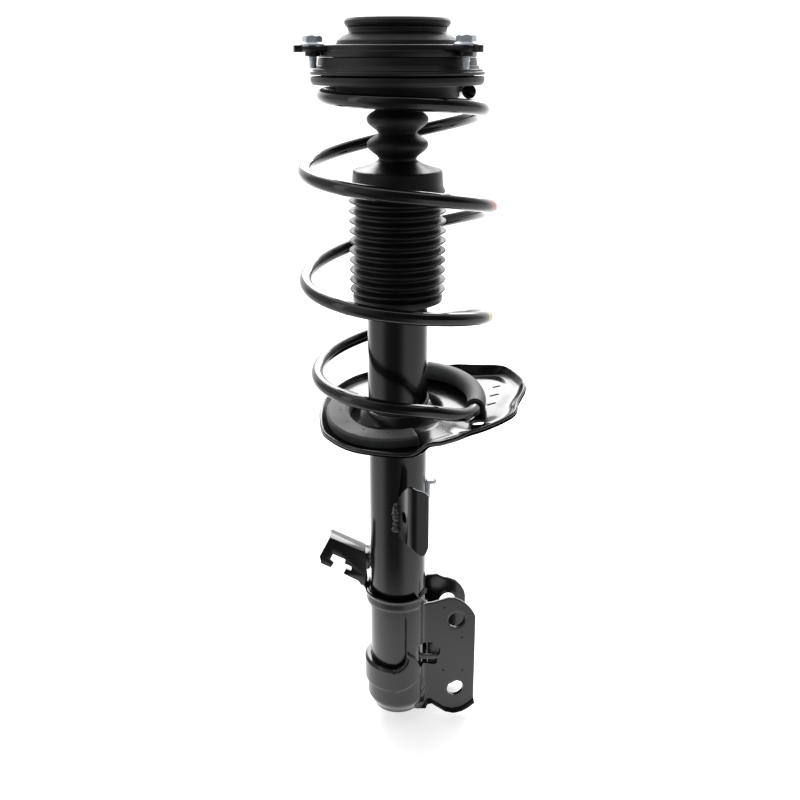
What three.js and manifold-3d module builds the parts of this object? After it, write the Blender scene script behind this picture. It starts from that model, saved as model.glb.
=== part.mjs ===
import * as THREE from "three";
import { mergeVertices } from "three/addons/utils/BufferGeometryUtils.js";
import Module from "manifold-3d";

// Complete front suspension strut: twin-tube damper, coil spring, top mount with
// steering bearing, bump stop, dust boot, and the brackets welded to the damper tube.
// Millimetres, +Z up along the damper axis. The origin is the centre of the closed
// lower end of the damper tube, and +X is the way the knuckle flanges point.

const wasm = await Module();
wasm.setup();

// ---------- driving dimensions ----------

const fitGap = 0.3; // clearance left between separate pieces that touch
const slideGap = 0.35; // radial clearance on the piston rod
const roundFacets = 28;
const smallFacets = 16;

const tube = { radius: 25.5, wall: 2, top: 417, footChamfer: 2.5, capThickness: 5 };
const cylinder = { radius: 16.5, wall: 1.5, bottom: 20 };
const rodOut = 152.1; // from the tube's top to the upper seat's top face, fully extended
const rod = { radius: 10, spigotRadius: 6, threadRadius: 7, spigotLength: 26.3, topAboveSeat: 39.9 };
const piston = { thickness: 14, nutAcross: 18, nutThickness: 9 };
const reboundStop = { boreGap: 1.6, thickness: 12, belowGuide: 5.3, aboveShoulder: 6.7 };
const guide = { thickness: 12, spigotLength: 10 };
const seal = { thickness: 6.1 };
const tubeCap = { wall: 1.6, skirt: 14, rodGap: 2 };

// Heights from here to the rod washer count from the upper seat's top face.
const bumper = { top: -20.1, bottom: -72.1, neckWall: 4.85, bulge: 9.3 };
const bumperBulges = [-32.1, -51.6];
const bumperBulgeHalf = 4;
const boot = { top: -64.1, neckWall: 1.5, shoulderTop: -72.5, shoulderProud: 1.7, cuffBottom: -89.1 };
const bellows = { top: -92.1, bottom: -173.1, ribs: 10, tubeGap: 7, ribDepth: 5, wall: 2.2 };
const bootCuff = { proud: 2.7, bottom: -179.1 };

const springSeat = { radius: 67.5, thickness: 3, lip: 6, bore: 28.5, lipWall: 2.5 };
const raceGroove = { inner: 41, outer: 57, depth: 1.8 };
const upperPad = { radius: 62, hubRadius: 48.4, hubBottom: -17, thickness: 2.4 };
const bumpCup = { radius: 27.5, wall: 1.5, depth: 12, rodGap: 2 };
const bearingCover = { overPlate: 6.7, bottom: 1.5, rimTop: 5.5, bandOverPlate: 0.6, top: 13.9, bore: 33 };
const bearingSeal = { inner: 58, outer: 59.8 };
const plate = { radius: 61, thickness: 3.5, top: 23.1, skirtWall: 2.5, bore: 30 };
const clampFace = { inner: 48.5, step: 0.3 }; // raised ring that the body's strut tower clamps on
const ear = { overPlate: 6, halfWidth: 10, thickness: 3, drop: 1 };
const earAngles = [-54.4, 65.6, -174.4];
const mountRubber = { flareRadius: 47.3, waistRadius: 37.6, top: 35.9, waist: 32.5, bottom: 8.4, lowerRadius: 50 };
const mountCap = { radius: 40.6, top: 42.5, bore: 17 };
const sleeve = { radius: 16.4, bottom: 6.9, top: 27.9, flangeRadius: 20, flangeThickness: 2.5 };
const rodNut = { across: 21, thickness: 8 };
const rodWasher = { radius: 14.5, thickness: 2.5 };
const bolt = { across: 13, headHeight: 4.6, flangeRadius: 9.2, flangeHeight: 2.6, radius: 3.4, tipGap: 0.6 };
const weldNut = { radius: 5.7, thickness: 4 };

const wire = { radius: 5.5, facets: 10, stepsPerTurn: 24, turns: 4 + 9 / 24, hubGap: 2.1 };
// Coil centre line by turn: [turn, radius gained, share of the way down]. It runs down anticlockwise.
const coilStations = [
  [0, 0, 0],
  [0.5, 2, 0.009],
  [0.75, 6.5, 0.025],
  [1, 11.5, 0.074],
  [1.5, 18.5, 0.207],
  [3, 19.5, 0.732],
  [3.5, 13, 0.885],
  [3.75, 12.5, 0.939],
  [4, 12.5, 1],
  [4.25, 12, 1],
  [4.4, 8.5, 1],
];
const coilStart = -12.4; // degrees, where the upper wire end lies
const coilTilt = { height: 6.9, towards: -47.9 }; // the free coils lean up on this side
const coilTiltFade = [0.5, 1.25, 3.25, 4]; // turns over which the lean comes in and goes out
const coilLanding = [3.8, 4.02]; // turns over which the wire comes down onto the lower seat
const endSleeve = { wall: 2, from: 3 + 23 / 24, to: 4 + 8 / 24 };

const seatPlane = { rise: 8.2, towards: 44, floor: 287.5, sheet: 3, rimHeight: 5.5, rimWidth: 2.6 };
const seatDome = { overTube: 14.5, height: 9, topOverTube: 3.5 };
// Plan outline of the lower seat: a round pan with a wing over the knuckle side.
const seatOutline = [
  [-68, -8], [-64, -30], [-46, -57], [-8, -78], [12, -68], [34, -63.5], [62, -58.5], [90, -45],
  [101, -26], [115, -4], [119, 14], [112, 38], [90, 48], [61, 62], [24, 79], [-18, 78], [-47, 57], [-63, 27],
];
const seatSlots = [
  { at: [84, -14], size: [11, 2.2], turn: -22 },
  { at: [77, -33.5], size: [9, 2.2], turn: -22 },
  { at: [87, 5], size: [7, 2.2], turn: -15 },
  { at: [58, -51], size: [10, 5], turn: -22 },
];
const lowerPad = { domeGap: 2, outer: 61.5, thickness: 9, from: 152, to: 274 };

const collar = { wall: 3.2, top: 115.8, bottom: -9, bandProud: 2.4, bandBottom: 17, bandTop: 42 };
const flange = { sheet: 3, innerHalf: 16, reach: 71, tubeClear: 0.6 };
const collarWindow = { bottom: 42, top: 103, edgeX: 3 };
const knuckleHole = { radius: 8, x: 52.3, heights: [5.5, 81.5] };
const reinforcement = { wall: 2.6, bottom: 8, top: 96, spread: 52 };

const link = { x: -3.5, sheet: 3, reach: 54, returnWidth: 17, top: 243, bottom: 174 };
const linkHole = { y: -41, z: 207, radius: 5.2 };
const linkWeld = { radius: 3.4, bottom: 182, top: 217 };
const hose = { sheet: 3, depth: 17, turn: -12.4, frontY: -4 };
const sensorClip = { width: 8, reach: 9, sheet: 1.6, height: 12, z: 225, angle: 4 };

// ---------- helpers ----------

const radians = THREE.MathUtils.degToRad;

// A closed solid from any closed three.js geometry.
function solidOf(geometry) {
  const bare = geometry.clone();
  bare.deleteAttribute("normal");
  bare.deleteAttribute("uv");
  const merged = mergeVertices(bare, 1e-4);
  const solid = new wasm.Manifold(
    new wasm.Mesh({
      numProp: 3,
      vertProperties: new Float32Array(merged.attributes.position.array),
      triVerts: new Uint32Array(merged.index.array),
    }),
  );
  return solid;
}

// A three.js geometry from a solid, with flat-shaded faces.
function geometryOf(solid) {
  const data = solid.getMesh();
  const geometry = new THREE.BufferGeometry();
  geometry.setAttribute("position", new THREE.BufferAttribute(data.vertProperties, 3));
  geometry.setIndex(new THREE.BufferAttribute(data.triVerts, 1));
  const flat = geometry.toNonIndexed();
  flat.computeVertexNormals();
  return flat;
}

const joined = (...solids) => solids.reduce((whole, next) => whole.add(next));
const cut = (solid, ...tools) => tools.reduce((rest, tool) => rest.subtract(tool), solid);

// A profile of [radius, height] points turned about the Z axis. The points run so that
// the material lies on their left, and a reversed list is put right here.
function turned(profile, facets = roundFacets) {
  const area = THREE.ShapeUtils.area(profile.map(([r, z]) => new THREE.Vector2(r, z)));
  const points = area > 0 ? profile : [...profile].reverse();
  const closed = profile[0][0] === 0 ? points : [...points, points[0]];
  const lathe = new THREE.LatheGeometry(closed.map(([r, z]) => new THREE.Vector2(r, z)), facets);
  return solidOf(lathe.rotateX(Math.PI / 2));
}

// A plain ring between two radii and two heights.
function ring(inner, outer, bottom, top, facets = roundFacets) {
  return turned([[inner, bottom], [outer, bottom], [outer, top], [inner, top]], facets);
}

// A plain disc or rod on the axis.
function disc(radius, bottom, top, facets = roundFacets) {
  return turned([[0, bottom], [radius, bottom], [radius, top], [0, top]], facets);
}

const shapeOf = (points) => new THREE.Shape(points.map(([x, y]) => new THREE.Vector2(x, y)));

// An outline in the XY plane raised from one height to another.
function raised(points, bottom, top) {
  const geometry = new THREE.ExtrudeGeometry(shapeOf(points), { depth: top - bottom, bevelEnabled: false });
  return solidOf(geometry.translate(0, 0, bottom));
}

// An outline of [x, z] points carried along Y from one place to another.
function acrossY(points, from, to) {
  const geometry = new THREE.ExtrudeGeometry(shapeOf(points), { depth: to - from, bevelEnabled: false });
  return solidOf(geometry.rotateX(Math.PI / 2).translate(0, to, 0));
}

// An outline of [y, z] points carried along X from one place to another.
function acrossX(points, from, to) {
  const geometry = new THREE.ExtrudeGeometry(shapeOf(points), { depth: to - from, bevelEnabled: false });
  const turn = new THREE.Matrix4().set(0, 0, 1, 0, 1, 0, 0, 0, 0, 1, 0, 0, 0, 0, 0, 1);
  return solidOf(geometry.applyMatrix4(turn).translate(from, 0, 0));
}

const onCircle = (radius, degrees) => [radius * Math.cos(radians(degrees)), radius * Math.sin(radians(degrees))];

// Points of an arc about a centre, from one angle to another in degrees.
function arc(centre, radius, from, to, steps) {
  return Array.from({ length: steps + 1 }, (_, i) => {
    const [x, y] = onCircle(radius, from + ((to - from) * i) / steps);
    return [centre[0] + x, centre[1] + y];
  });
}

// A hexagon by its width across flats.
const hexagon = (across) => arc([0, 0], across / Math.sqrt(3), 0, 300, 5);

const placed = (solid, matrix) => solid.transform(matrix.elements);
const moved = (solid, x, y, z) => placed(solid, new THREE.Matrix4().makeTranslation(x, y, z));
const spun = (solid, degrees) => placed(solid, new THREE.Matrix4().makeRotationZ(radians(degrees)));

// Smooth 0 to 1 between two values.
const eased = (value, from, to) => THREE.MathUtils.smoothstep(value, from, to);

// Piecewise cubic through stations of [position, value...], with slopes from the neighbours.
function between(stations, position, column) {
  const last = stations.length - 1;
  let i = stations.findIndex((s, k) => k < last && position <= stations[k + 1][0]);
  if (i < 0) i = last - 1;
  const slope = (k) => {
    const a = stations[Math.max(k - 1, 0)];
    const b = stations[Math.min(k + 1, last)];
    return (b[column] - a[column]) / (b[0] - a[0]);
  };
  const [here, next] = [stations[i], stations[i + 1]];
  const span = next[0] - here[0];
  const t = (position - here[0]) / span;
  const h = [2 * t ** 3 - 3 * t ** 2 + 1, t ** 3 - 2 * t ** 2 + t, 3 * t ** 2 - 2 * t ** 3, t ** 3 - t ** 2];
  return h[0] * here[column] + h[1] * span * slope(i) + h[2] * next[column] + h[3] * span * slope(i + 1);
}

// ---------- finishes ----------

const finish = (color, roughness, metalness) => new THREE.MeshStandardMaterial({ color, roughness, metalness });
const blackPaint = finish(0x0b0b0d, 0.22, 0.3);
const bareSteel = finish(0x8d9094, 0.35, 1);
const chromedRod = finish(0xc9ccd0, 0.12, 1);
const blackRubber = finish(0x17181a, 0.75, 0);
const greyRubber = finish(0x3f4347, 0.8, 0);
const blackPlastic = finish(0x1b1c1f, 0.5, 0);
const zinc = finish(0xb9c4c9, 0.3, 1);
const sintered = finish(0x6f7072, 0.5, 0.9);

const strut = new THREE.Group();
const seatLevel = tube.top + rodOut;
const upper = new THREE.Group();
upper.position.z = seatLevel;
strut.add(upper);

function addPiece(name, solid, material, parent = strut) {
  const mesh = new THREE.Mesh(geometryOf(solid), material);
  mesh.name = name;
  parent.add(mesh);
}

// ---------- damper ----------

const tubeBore = tube.radius - tube.wall;
const insertRadius = tubeBore - fitGap;
const cylinderBore = cylinder.radius - cylinder.wall;
const sealBottom = tube.top - fitGap - seal.thickness;
const guideTop = sealBottom - fitGap;
const guideBottom = guideTop - guide.thickness;
const guideBore = rod.radius + slideGap;
const cylinderTop = guideBottom - fitGap;
const reboundTop = guideBottom - guide.spigotLength - reboundStop.belowGuide;
const reboundBottom = reboundTop - reboundStop.thickness;
const rodShoulder = reboundBottom - reboundStop.aboveShoulder;
const rodBottom = rodShoulder - rod.spigotLength;
const rodTop = seatLevel + rod.topAboveSeat;
const mountShoulder = seatLevel + sleeve.bottom - fitGap;
const pistonTop = rodShoulder - fitGap;
const pistonBottom = pistonTop - piston.thickness;
const pistonNutTop = pistonBottom - fitGap;

function damperTube() {
  return turned([
    [tubeBore, 0],
    [tube.radius - tube.wall / 2, 0],
    [tube.radius, tube.footChamfer],
    [tube.radius, tube.top],
    [tubeBore, tube.top],
  ]);
}

function footValve() {
  const bodyBottom = tube.capThickness + fitGap;
  const flangeTop = cylinder.bottom - fitGap;
  return turned([
    [0, bodyBottom],
    [12, bodyBottom],
    [12, flangeTop - 5],
    [cylinder.radius, flangeTop - 5],
    [cylinder.radius, flangeTop],
    [cylinderBore - fitGap, flangeTop],
    [cylinderBore - fitGap, flangeTop + 10],
    [0, flangeTop + 10],
  ], smallFacets);
}

function pistonRod() {
  return turned([
    [0, rodBottom],
    [rod.spigotRadius, rodBottom],
    [rod.spigotRadius, rodShoulder],
    [rod.radius, rodShoulder],
    [rod.radius, mountShoulder],
    [rod.threadRadius, mountShoulder],
    [rod.threadRadius, rodTop],
    [0, rodTop],
  ], smallFacets);
}

function rodGuide() {
  return turned([
    [guideBore, guideBottom - guide.spigotLength],
    [cylinderBore - fitGap, guideBottom - guide.spigotLength],
    [cylinderBore - fitGap, guideBottom],
    [insertRadius, guideBottom],
    [insertRadius, guideTop],
    [guideBore, guideTop],
  ], smallFacets);
}

function tubeTopCap() {
  const inner = tube.radius + fitGap;
  const roof = tube.top + fitGap;
  const hole = rod.radius + tubeCap.rodGap;
  return turned([
    [inner, tube.top - tubeCap.skirt],
    [inner + tubeCap.wall, tube.top - tubeCap.skirt],
    [inner + tubeCap.wall, roof + tubeCap.wall],
    [hole, roof + tubeCap.wall],
    [hole, roof],
    [inner, roof],
  ]);
}

function hexNut(across, boreRadius, bottom, top) {
  return cut(raised(hexagon(across), bottom, top), disc(boreRadius, bottom - 1, top + 1, smallFacets));
}

addPiece("damper_tube", damperTube(), blackPaint);
addPiece("tube_end_cap", disc(insertRadius, 0, tube.capThickness), blackPaint);
addPiece("foot_valve", footValve(), sintered);
addPiece(
  "inner_cylinder",
  ring(cylinderBore, cylinder.radius, cylinder.bottom, cylinderTop, smallFacets),
  bareSteel,
);
addPiece(
  "piston",
  ring(rod.spigotRadius + fitGap, cylinderBore - fitGap, pistonBottom, pistonTop, smallFacets),
  sintered,
);
addPiece(
  "piston_nut",
  hexNut(piston.nutAcross, rod.spigotRadius + fitGap, pistonNutTop - piston.nutThickness, pistonNutTop),
  bareSteel,
);
addPiece("piston_rod", pistonRod(), chromedRod);
addPiece(
  "rebound_stop",
  ring(guideBore, cylinderBore - reboundStop.boreGap, reboundBottom, reboundTop, smallFacets),
  blackPlastic,
);
addPiece("rod_guide", rodGuide(), sintered);
addPiece("rod_seal", ring(guideBore, insertRadius, sealBottom, tube.top - fitGap, smallFacets), blackRubber);
addPiece("tube_top_cap", tubeTopCap(), blackPaint);

// ---------- bump stop and dust boot ----------

const bumperNeck = guideBore + bumper.neckWall;
const bootBore = bumperNeck + fitGap;
const bellowsBore = tube.radius + bellows.tubeGap;
const bellowsRoot = bellowsBore + bellows.wall;

function bumpStop() {
  const bore = guideBore;
  const bulge = bumperNeck + bumper.bulge;
  const outline = [[bore, bumper.bottom], [bumperNeck - 1, bumper.bottom]];
  [...bumperBulges].reverse().forEach((height) => {
    outline.push([bumperNeck, height - bumperBulgeHalf - 5]);
    outline.push([bulge, height - bumperBulgeHalf]);
    outline.push([bulge, height + bumperBulgeHalf]);
    outline.push([bumperNeck, height + bumperBulgeHalf + 5]);
  });
  outline.push([bumperNeck, bumper.top], [bore, bumper.top]);
  return turned(outline, 24);
}

function dustBoot() {
  const cuffRadius = bellowsRoot + bootCuff.proud;
  const pitch = (bellows.top - bellows.bottom) / bellows.ribs;
  const outline = [
    [bootBore, boot.top],
    [bootBore, boot.top - 5],
    [bellowsBore, boot.shoulderTop - 5],
    [bellowsBore, bootCuff.bottom],
    [cuffRadius, bootCuff.bottom],
    [cuffRadius, bellows.bottom],
  ];
  for (let rib = 0; rib < bellows.ribs; rib++) {
    outline.push([bellowsRoot, bellows.bottom + rib * pitch + 1]);
    outline.push([bellowsRoot + bellows.ribDepth, bellows.bottom + (rib + 0.5) * pitch]);
  }
  outline.push(
    [bellowsRoot, bellows.top],
    [bellowsRoot + boot.shoulderProud + 2, boot.cuffBottom],
    [bellowsRoot + boot.shoulderProud, boot.shoulderTop],
    [bootBore + boot.neckWall, boot.top - 2],
    [bootBore + boot.neckWall, boot.top],
  );
  return turned(outline, 24);
}

addPiece("bump_stop", bumpStop(), blackRubber, upper);
addPiece("dust_boot", dustBoot(), blackRubber, upper);

// ---------- upper seat ----------

const seatUnder = -springSeat.thickness;

function upperSpringSeat() {
  const groove = ring(raceGroove.inner, raceGroove.outer, -raceGroove.depth, 5);
  const pan = turned([
    [springSeat.bore, seatUnder],
    [springSeat.radius - springSeat.lipWall, seatUnder],
    [springSeat.radius - springSeat.lipWall, -springSeat.lip],
    [springSeat.radius - 1, -springSeat.lip],
    [springSeat.radius, 1 - springSeat.lip],
    [springSeat.radius, 0],
    [springSeat.bore, 0],
  ]);
  return cut(pan, groove);
}

const upperPadTop = seatUnder - fitGap;
const upperPadUnder = upperPadTop - upperPad.thickness;

function upperInsulator() {
  return turned([
    [bumpCup.radius + fitGap, upperPad.hubBottom],
    [upperPad.hubRadius, upperPad.hubBottom],
    [upperPad.hubRadius, upperPadUnder],
    [upperPad.radius, upperPadUnder],
    [upperPad.radius, upperPadTop],
    [bumpCup.radius + fitGap, upperPadTop],
  ]);
}

function bumpStopCup() {
  const roof = upperPadTop;
  const hole = rod.radius + bumpCup.rodGap;
  return turned([
    [bumpCup.radius - bumpCup.wall, roof - bumpCup.depth],
    [bumpCup.radius, roof - bumpCup.depth],
    [bumpCup.radius, roof],
    [hole, roof],
    [hole, roof - bumpCup.wall],
    [bumpCup.radius - bumpCup.wall, roof - bumpCup.wall],
  ]);
}

addPiece("upper_spring_seat", upperSpringSeat(), blackPaint, upper);
addPiece("upper_insulator", upperInsulator(), blackRubber, upper);
addPiece("bump_stop_cup", bumpStopCup(), blackPaint, upper);

// ---------- top mount ----------

const boltCircle = plate.radius + ear.overPlate;

function bearingUpperCover() {
  const rim = plate.radius + bearingCover.overPlate;
  const band = plate.radius + bearingCover.bandOverPlate;
  const recess = ring(
    raceGroove.inner,
    raceGroove.outer,
    bearingCover.bottom - 5,
    bearingCover.bottom + raceGroove.depth,
  );
  const body = turned([
    [bearingCover.bore, bearingCover.bottom],
    [rim, bearingCover.bottom],
    [rim, bearingCover.rimTop - 1.2],
    [rim - 2, bearingCover.rimTop],
    [band + 1, bearingCover.rimTop],
    [band - 1, bearingCover.top],
    [plate.radius - plate.skirtWall - fitGap, bearingCover.top],
    [plate.radius - plate.skirtWall - fitGap, bearingCover.rimTop + 2],
    [bearingCover.bore, bearingCover.rimTop + 2],
  ]);
  return cut(body, recess);
}

const ballBottom = fitGap - raceGroove.depth;
const ballTop = bearingCover.bottom + raceGroove.depth - fitGap;

// Caged ball row as one ring with a round section.
function bearingBallRing() {
  const half = (ballTop - ballBottom) / 2;
  const middle = (raceGroove.inner + raceGroove.outer) / 2;
  const section = arc([middle, ballBottom + half], half, 0, 315, 7).map(([r, z]) => [r, z]);
  return turned(section);
}

function mountPlate() {
  const under = plate.top - plate.thickness;
  const pan = turned([
    [plate.bore, under],
    [plate.radius - plate.skirtWall, under],
    [plate.radius - plate.skirtWall, bearingCover.top + fitGap],
    [plate.radius, bearingCover.top + fitGap],
    [plate.radius, plate.top - 1.5],
    [plate.radius - 1.5, plate.top],
    [clampFace.inner, plate.top],
    [clampFace.inner, plate.top - clampFace.step],
    [plate.bore, plate.top - clampFace.step],
  ]);
  const earTop = plate.top - ear.drop;
  const earShape = [
    [plate.radius - 2, -ear.halfWidth - 3],
    ...arc([boltCircle, 0], ear.halfWidth, -60, 60, 6),
    [plate.radius - 2, ear.halfWidth + 3],
  ];
  const lug = cut(
    raised(earShape, earTop - ear.thickness, earTop),
    moved(disc(bolt.radius + fitGap, earTop - 9, earTop + 9, smallFacets), boltCircle, 0, 0),
  );
  const seating = moved(disc(bolt.flangeRadius + 0.6, earTop, earTop + 9, smallFacets), boltCircle, 0, 0);
  const ears = earAngles.map((angle) => spun(lug, angle));
  const spotFaces = earAngles.map((angle) => spun(seating, angle));
  return cut(joined(pan, ...ears), ...spotFaces);
}

const flangeUnder = sleeve.top - sleeve.flangeThickness;

function rubberMount() {
  const through = plate.bore - fitGap;
  const under = plate.top - plate.thickness - fitGap;
  const flareBottom = plate.top - clampFace.step + fitGap;
  const bore = sleeve.radius + fitGap;
  return turned([
    [bore, mountRubber.bottom],
    [mountRubber.lowerRadius, mountRubber.bottom],
    [mountRubber.lowerRadius, under],
    [through, under],
    [through, flareBottom],
    [mountRubber.flareRadius, flareBottom],
    [mountRubber.flareRadius - 1, flareBottom + 3.2],
    [mountRubber.waistRadius + 5, flareBottom + 6.3],
    [mountRubber.waistRadius, mountRubber.waist - 1.5],
    [mountRubber.waistRadius, mountRubber.top],
    [sleeve.flangeRadius + fitGap, mountRubber.top],
    [sleeve.flangeRadius + fitGap, flangeUnder - fitGap],
    [bore, flangeUnder - fitGap],
  ]);
}

function rubberCap() {
  const bottom = mountRubber.top + fitGap;
  return turned([
    [sleeve.flangeRadius + fitGap, bottom],
    [mountCap.radius, bottom],
    [mountCap.radius, mountCap.top - 2.5],
    [mountCap.radius - 2.5, mountCap.top],
    [mountCap.bore + 1, mountCap.top],
    [mountCap.bore + 1, bottom + 2],
    [sleeve.flangeRadius + fitGap, bottom + 2],
  ]);
}

function mountSleeve() {
  const bore = rod.threadRadius + fitGap;
  return turned([
    [bore, sleeve.bottom],
    [sleeve.radius, sleeve.bottom],
    [sleeve.radius, flangeUnder],
    [sleeve.flangeRadius, flangeUnder],
    [sleeve.flangeRadius, sleeve.top],
    [bore, sleeve.top],
  ], smallFacets);
}

function mountBolt() {
  const seatAt = plate.top - ear.drop + fitGap;
  const headBottom = seatAt + bolt.flangeHeight;
  const head = raised(hexagon(bolt.across), headBottom - 0.5, headBottom + bolt.headHeight);
  const flangeDisc = turned([
    [0, seatAt],
    [bolt.flangeRadius, seatAt],
    [bolt.flangeRadius, seatAt + 1],
    [bolt.across / 2 + 0.3, headBottom],
    [0, headBottom],
  ], smallFacets);
  const tip = bearingCover.rimTop + bolt.tipGap;
  const shank = turned([
    [0, tip],
    [bolt.radius - 1, tip],
    [bolt.radius - 0.5, tip + 4],
    [bolt.radius, tip + 5],
    [bolt.radius, seatAt + 1],
    [0, seatAt + 1],
  ], 16);
  return joined(head, flangeDisc, shank);
}

const washerBottom = sleeve.top + fitGap;
const nutBottom = washerBottom + rodWasher.thickness + fitGap;
const weldNutTop = plate.top - ear.drop - ear.thickness - fitGap;

addPiece("bearing_upper_cover", bearingUpperCover(), blackPlastic, upper);
addPiece("bearing_ball_ring", bearingBallRing(), bareSteel, upper);
addPiece(
  "bearing_seal",
  ring(bearingSeal.inner, bearingSeal.outer, fitGap, bearingCover.bottom - fitGap),
  blackRubber,
  upper,
);
addPiece("mount_plate", mountPlate(), blackPaint, upper);
addPiece("mount_rubber", rubberMount(), blackRubber, upper);
addPiece("mount_cap", rubberCap(), blackRubber, upper);
addPiece("mount_sleeve", mountSleeve(), bareSteel, upper);
addPiece(
  "rod_washer",
  ring(rod.threadRadius + fitGap, rodWasher.radius, washerBottom, washerBottom + rodWasher.thickness, smallFacets),
  zinc,
  upper,
);
addPiece(
  "rod_nut",
  hexNut(rodNut.across, rod.threadRadius + fitGap, nutBottom, nutBottom + rodNut.thickness),
  zinc,
  upper,
);
earAngles.forEach((angle, i) => {
  const at = onCircle(boltCircle, angle);
  const nut = ring(bolt.radius + fitGap, weldNut.radius, weldNutTop - weldNut.thickness, weldNutTop, 12);
  const stand = new THREE.Group();
  stand.position.set(at[0], at[1], 0);
  stand.rotation.z = radians(angle);
  addPiece(`mount_bolt_${i + 1}`, mountBolt(), zinc, stand);
  addPiece(`weld_nut_${i + 1}`, nut, bareSteel, stand);
  upper.add(stand);
});

// ---------- coil spring ----------

const sleeveBore = wire.radius / Math.cos(Math.PI / wire.facets) + fitGap;
const seatedLift = (sleeveBore + endSleeve.wall + fitGap) / Math.cos(radians(seatPlane.rise));
const coilTopRadius = upperPad.hubRadius + wire.hubGap + wire.radius;
const coilTopHeight = seatLevel + upperPadUnder - fitGap - wire.radius;

// Height of the tilted lower seat floor at a place in plan.
function seatHeight(x, y) {
  const [alongX, alongY] = onCircle(1, seatPlane.towards);
  return seatPlane.floor + Math.tan(radians(seatPlane.rise)) * (x * alongX + y * alongY);
}

// Height of the wire's middle where it first lies on the lower seat, on the seat's higher side.
const seatedHeight = seatHeight(...onCircle(coilTopRadius + 12.5, coilStart)) + seatedLift;

// Centre line of the spring wire by turn, which winds down anticlockwise.
class CoilLine extends THREE.Curve {
  constructor(fromTurn, toTurn) {
    super();
    this.fromTurn = fromTurn;
    this.toTurn = toTurn;
  }

  getPoint(share, target = new THREE.Vector3()) {
    const turn = this.fromTurn + (this.toTurn - this.fromTurn) * share;
    const angle = coilStart + turn * 360;
    const lean =
      eased(turn, coilTiltFade[0], coilTiltFade[1]) * (1 - eased(turn, coilTiltFade[2], coilTiltFade[3]));
    const [x, y] = onCircle(coilTopRadius + between(coilStations, turn, 1), angle);
    const leanHeight = coilTilt.height * lean * Math.cos(radians(angle - coilTilt.towards));
    const free = THREE.MathUtils.lerp(coilTopHeight, seatedHeight, between(coilStations, turn, 2)) + leanHeight;
    const landed = eased(turn, coilLanding[0], coilLanding[1]);
    return target.set(x, y, THREE.MathUtils.lerp(free, seatHeight(x, y) + seatedLift, landed));
  }

  // Even steps in turn are even enough along the wire.
  getPointAt(share, target) {
    return this.getPoint(share, target);
  }

  getTangentAt(share, target) {
    return this.getTangent(share, target);
  }
}

function alongCoil(radius, holeRadius, fromTurn, toTurn) {
  const section = shapeOf(arc([0, 0], radius, 0, 360 - 360 / wire.facets, wire.facets - 1));
  if (holeRadius) {
    const hole = arc([0, 0], holeRadius, 0, 360 - 360 / wire.facets, wire.facets - 1).reverse();
    section.holes.push(new THREE.Path(hole.map(([x, y]) => new THREE.Vector2(x, y))));
  }
  const steps = Math.ceil((toTurn - fromTurn) * wire.stepsPerTurn);
  const geometry = new THREE.ExtrudeGeometry(section, {
    steps,
    bevelEnabled: false,
    extrudePath: new CoilLine(fromTurn, toTurn),
  });
  return solidOf(geometry);
}

addPiece("coil_spring", alongCoil(wire.radius, 0, 0, wire.turns), blackPaint);
addPiece(
  "coil_end_sleeve",
  alongCoil(sleeveBore + endSleeve.wall, sleeveBore, endSleeve.from, endSleeve.to),
  greyRubber,
);

// ---------- lower spring seat ----------

// Lays a shape drawn flat at height 0 onto the tilted seat floor.
function onSeatPlane(solid) {
  const [across, along] = onCircle(1, seatPlane.towards);
  const tilt = new THREE.Matrix4().makeRotationAxis(new THREE.Vector3(along, -across, 0), radians(seatPlane.rise));
  return placed(solid, new THREE.Matrix4().makeTranslation(0, 0, seatPlane.floor).multiply(tilt));
}

const seatCurve = new THREE.CatmullRomCurve3(seatOutline.map(([x, y]) => new THREE.Vector3(x, y, 0)), true);
const seatRim = seatCurve.getPoints(56).slice(0, -1).map((p) => [p.x, p.y]);

// Moves each point of a closed outline inwards along its own normal.
function inset(points, distance) {
  return points.map(([x, y], i) => {
    const before = points[(i + points.length - 1) % points.length];
    const after = points[(i + 1) % points.length];
    const along = new THREE.Vector2(after[0] - before[0], after[1] - before[1]).normalize();
    return [x - along.y * distance, y + along.x * distance];
  });
}

const domeRadius = tube.radius + seatDome.overTube;
const domeTop = tube.radius + seatDome.topOverTube;

function lowerSpringSeat() {
  const pan = raised(seatRim, -seatPlane.sheet, seatPlane.rimHeight);
  const well = raised(inset(seatRim, seatPlane.rimWidth), 0, seatPlane.rimHeight + 9);
  const dome = turned([
    [0, -seatPlane.sheet],
    [domeRadius, -seatPlane.sheet],
    [domeRadius, 0.01],
    [domeTop, seatDome.height],
    [0, seatDome.height],
  ]);
  const slots = seatSlots.map(({ at, size, turn }) => {
    const corners = [[-0.5, -0.5], [0.5, -0.5], [0.5, 0.5], [-0.5, 0.5]];
    const slot = raised(corners.map(([x, y]) => [x * size[0], y * size[1]]), -seatPlane.sheet - 9, 9);
    return moved(spun(slot, turn), at[0], at[1], 0);
  });
  const dish = joined(cut(pan, well), dome);
  const underDome = turned([
    [0, -seatPlane.sheet - 9],
    [domeRadius - 3, -seatPlane.sheet - 9],
    [domeRadius - 3, -seatPlane.sheet],
    [domeTop, seatDome.height - 3],
    [0, seatDome.height - 3],
  ]);
  const tubeHole = disc(tube.radius + fitGap, 200, 400);
  return cut(onSeatPlane(cut(dish, underDome, ...slots)), tubeHole);
}

function lowerInsulator() {
  const sweep = lowerPad.to - lowerPad.from;
  const steps = Math.round(sweep / 10);
  const outline = [
    ...arc([0, 0], lowerPad.outer, lowerPad.from, lowerPad.to, steps),
    ...arc([0, 0], domeRadius + lowerPad.domeGap, lowerPad.to, lowerPad.from, steps),
  ];
  return onSeatPlane(raised(outline, fitGap, fitGap + lowerPad.thickness));
}

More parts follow.
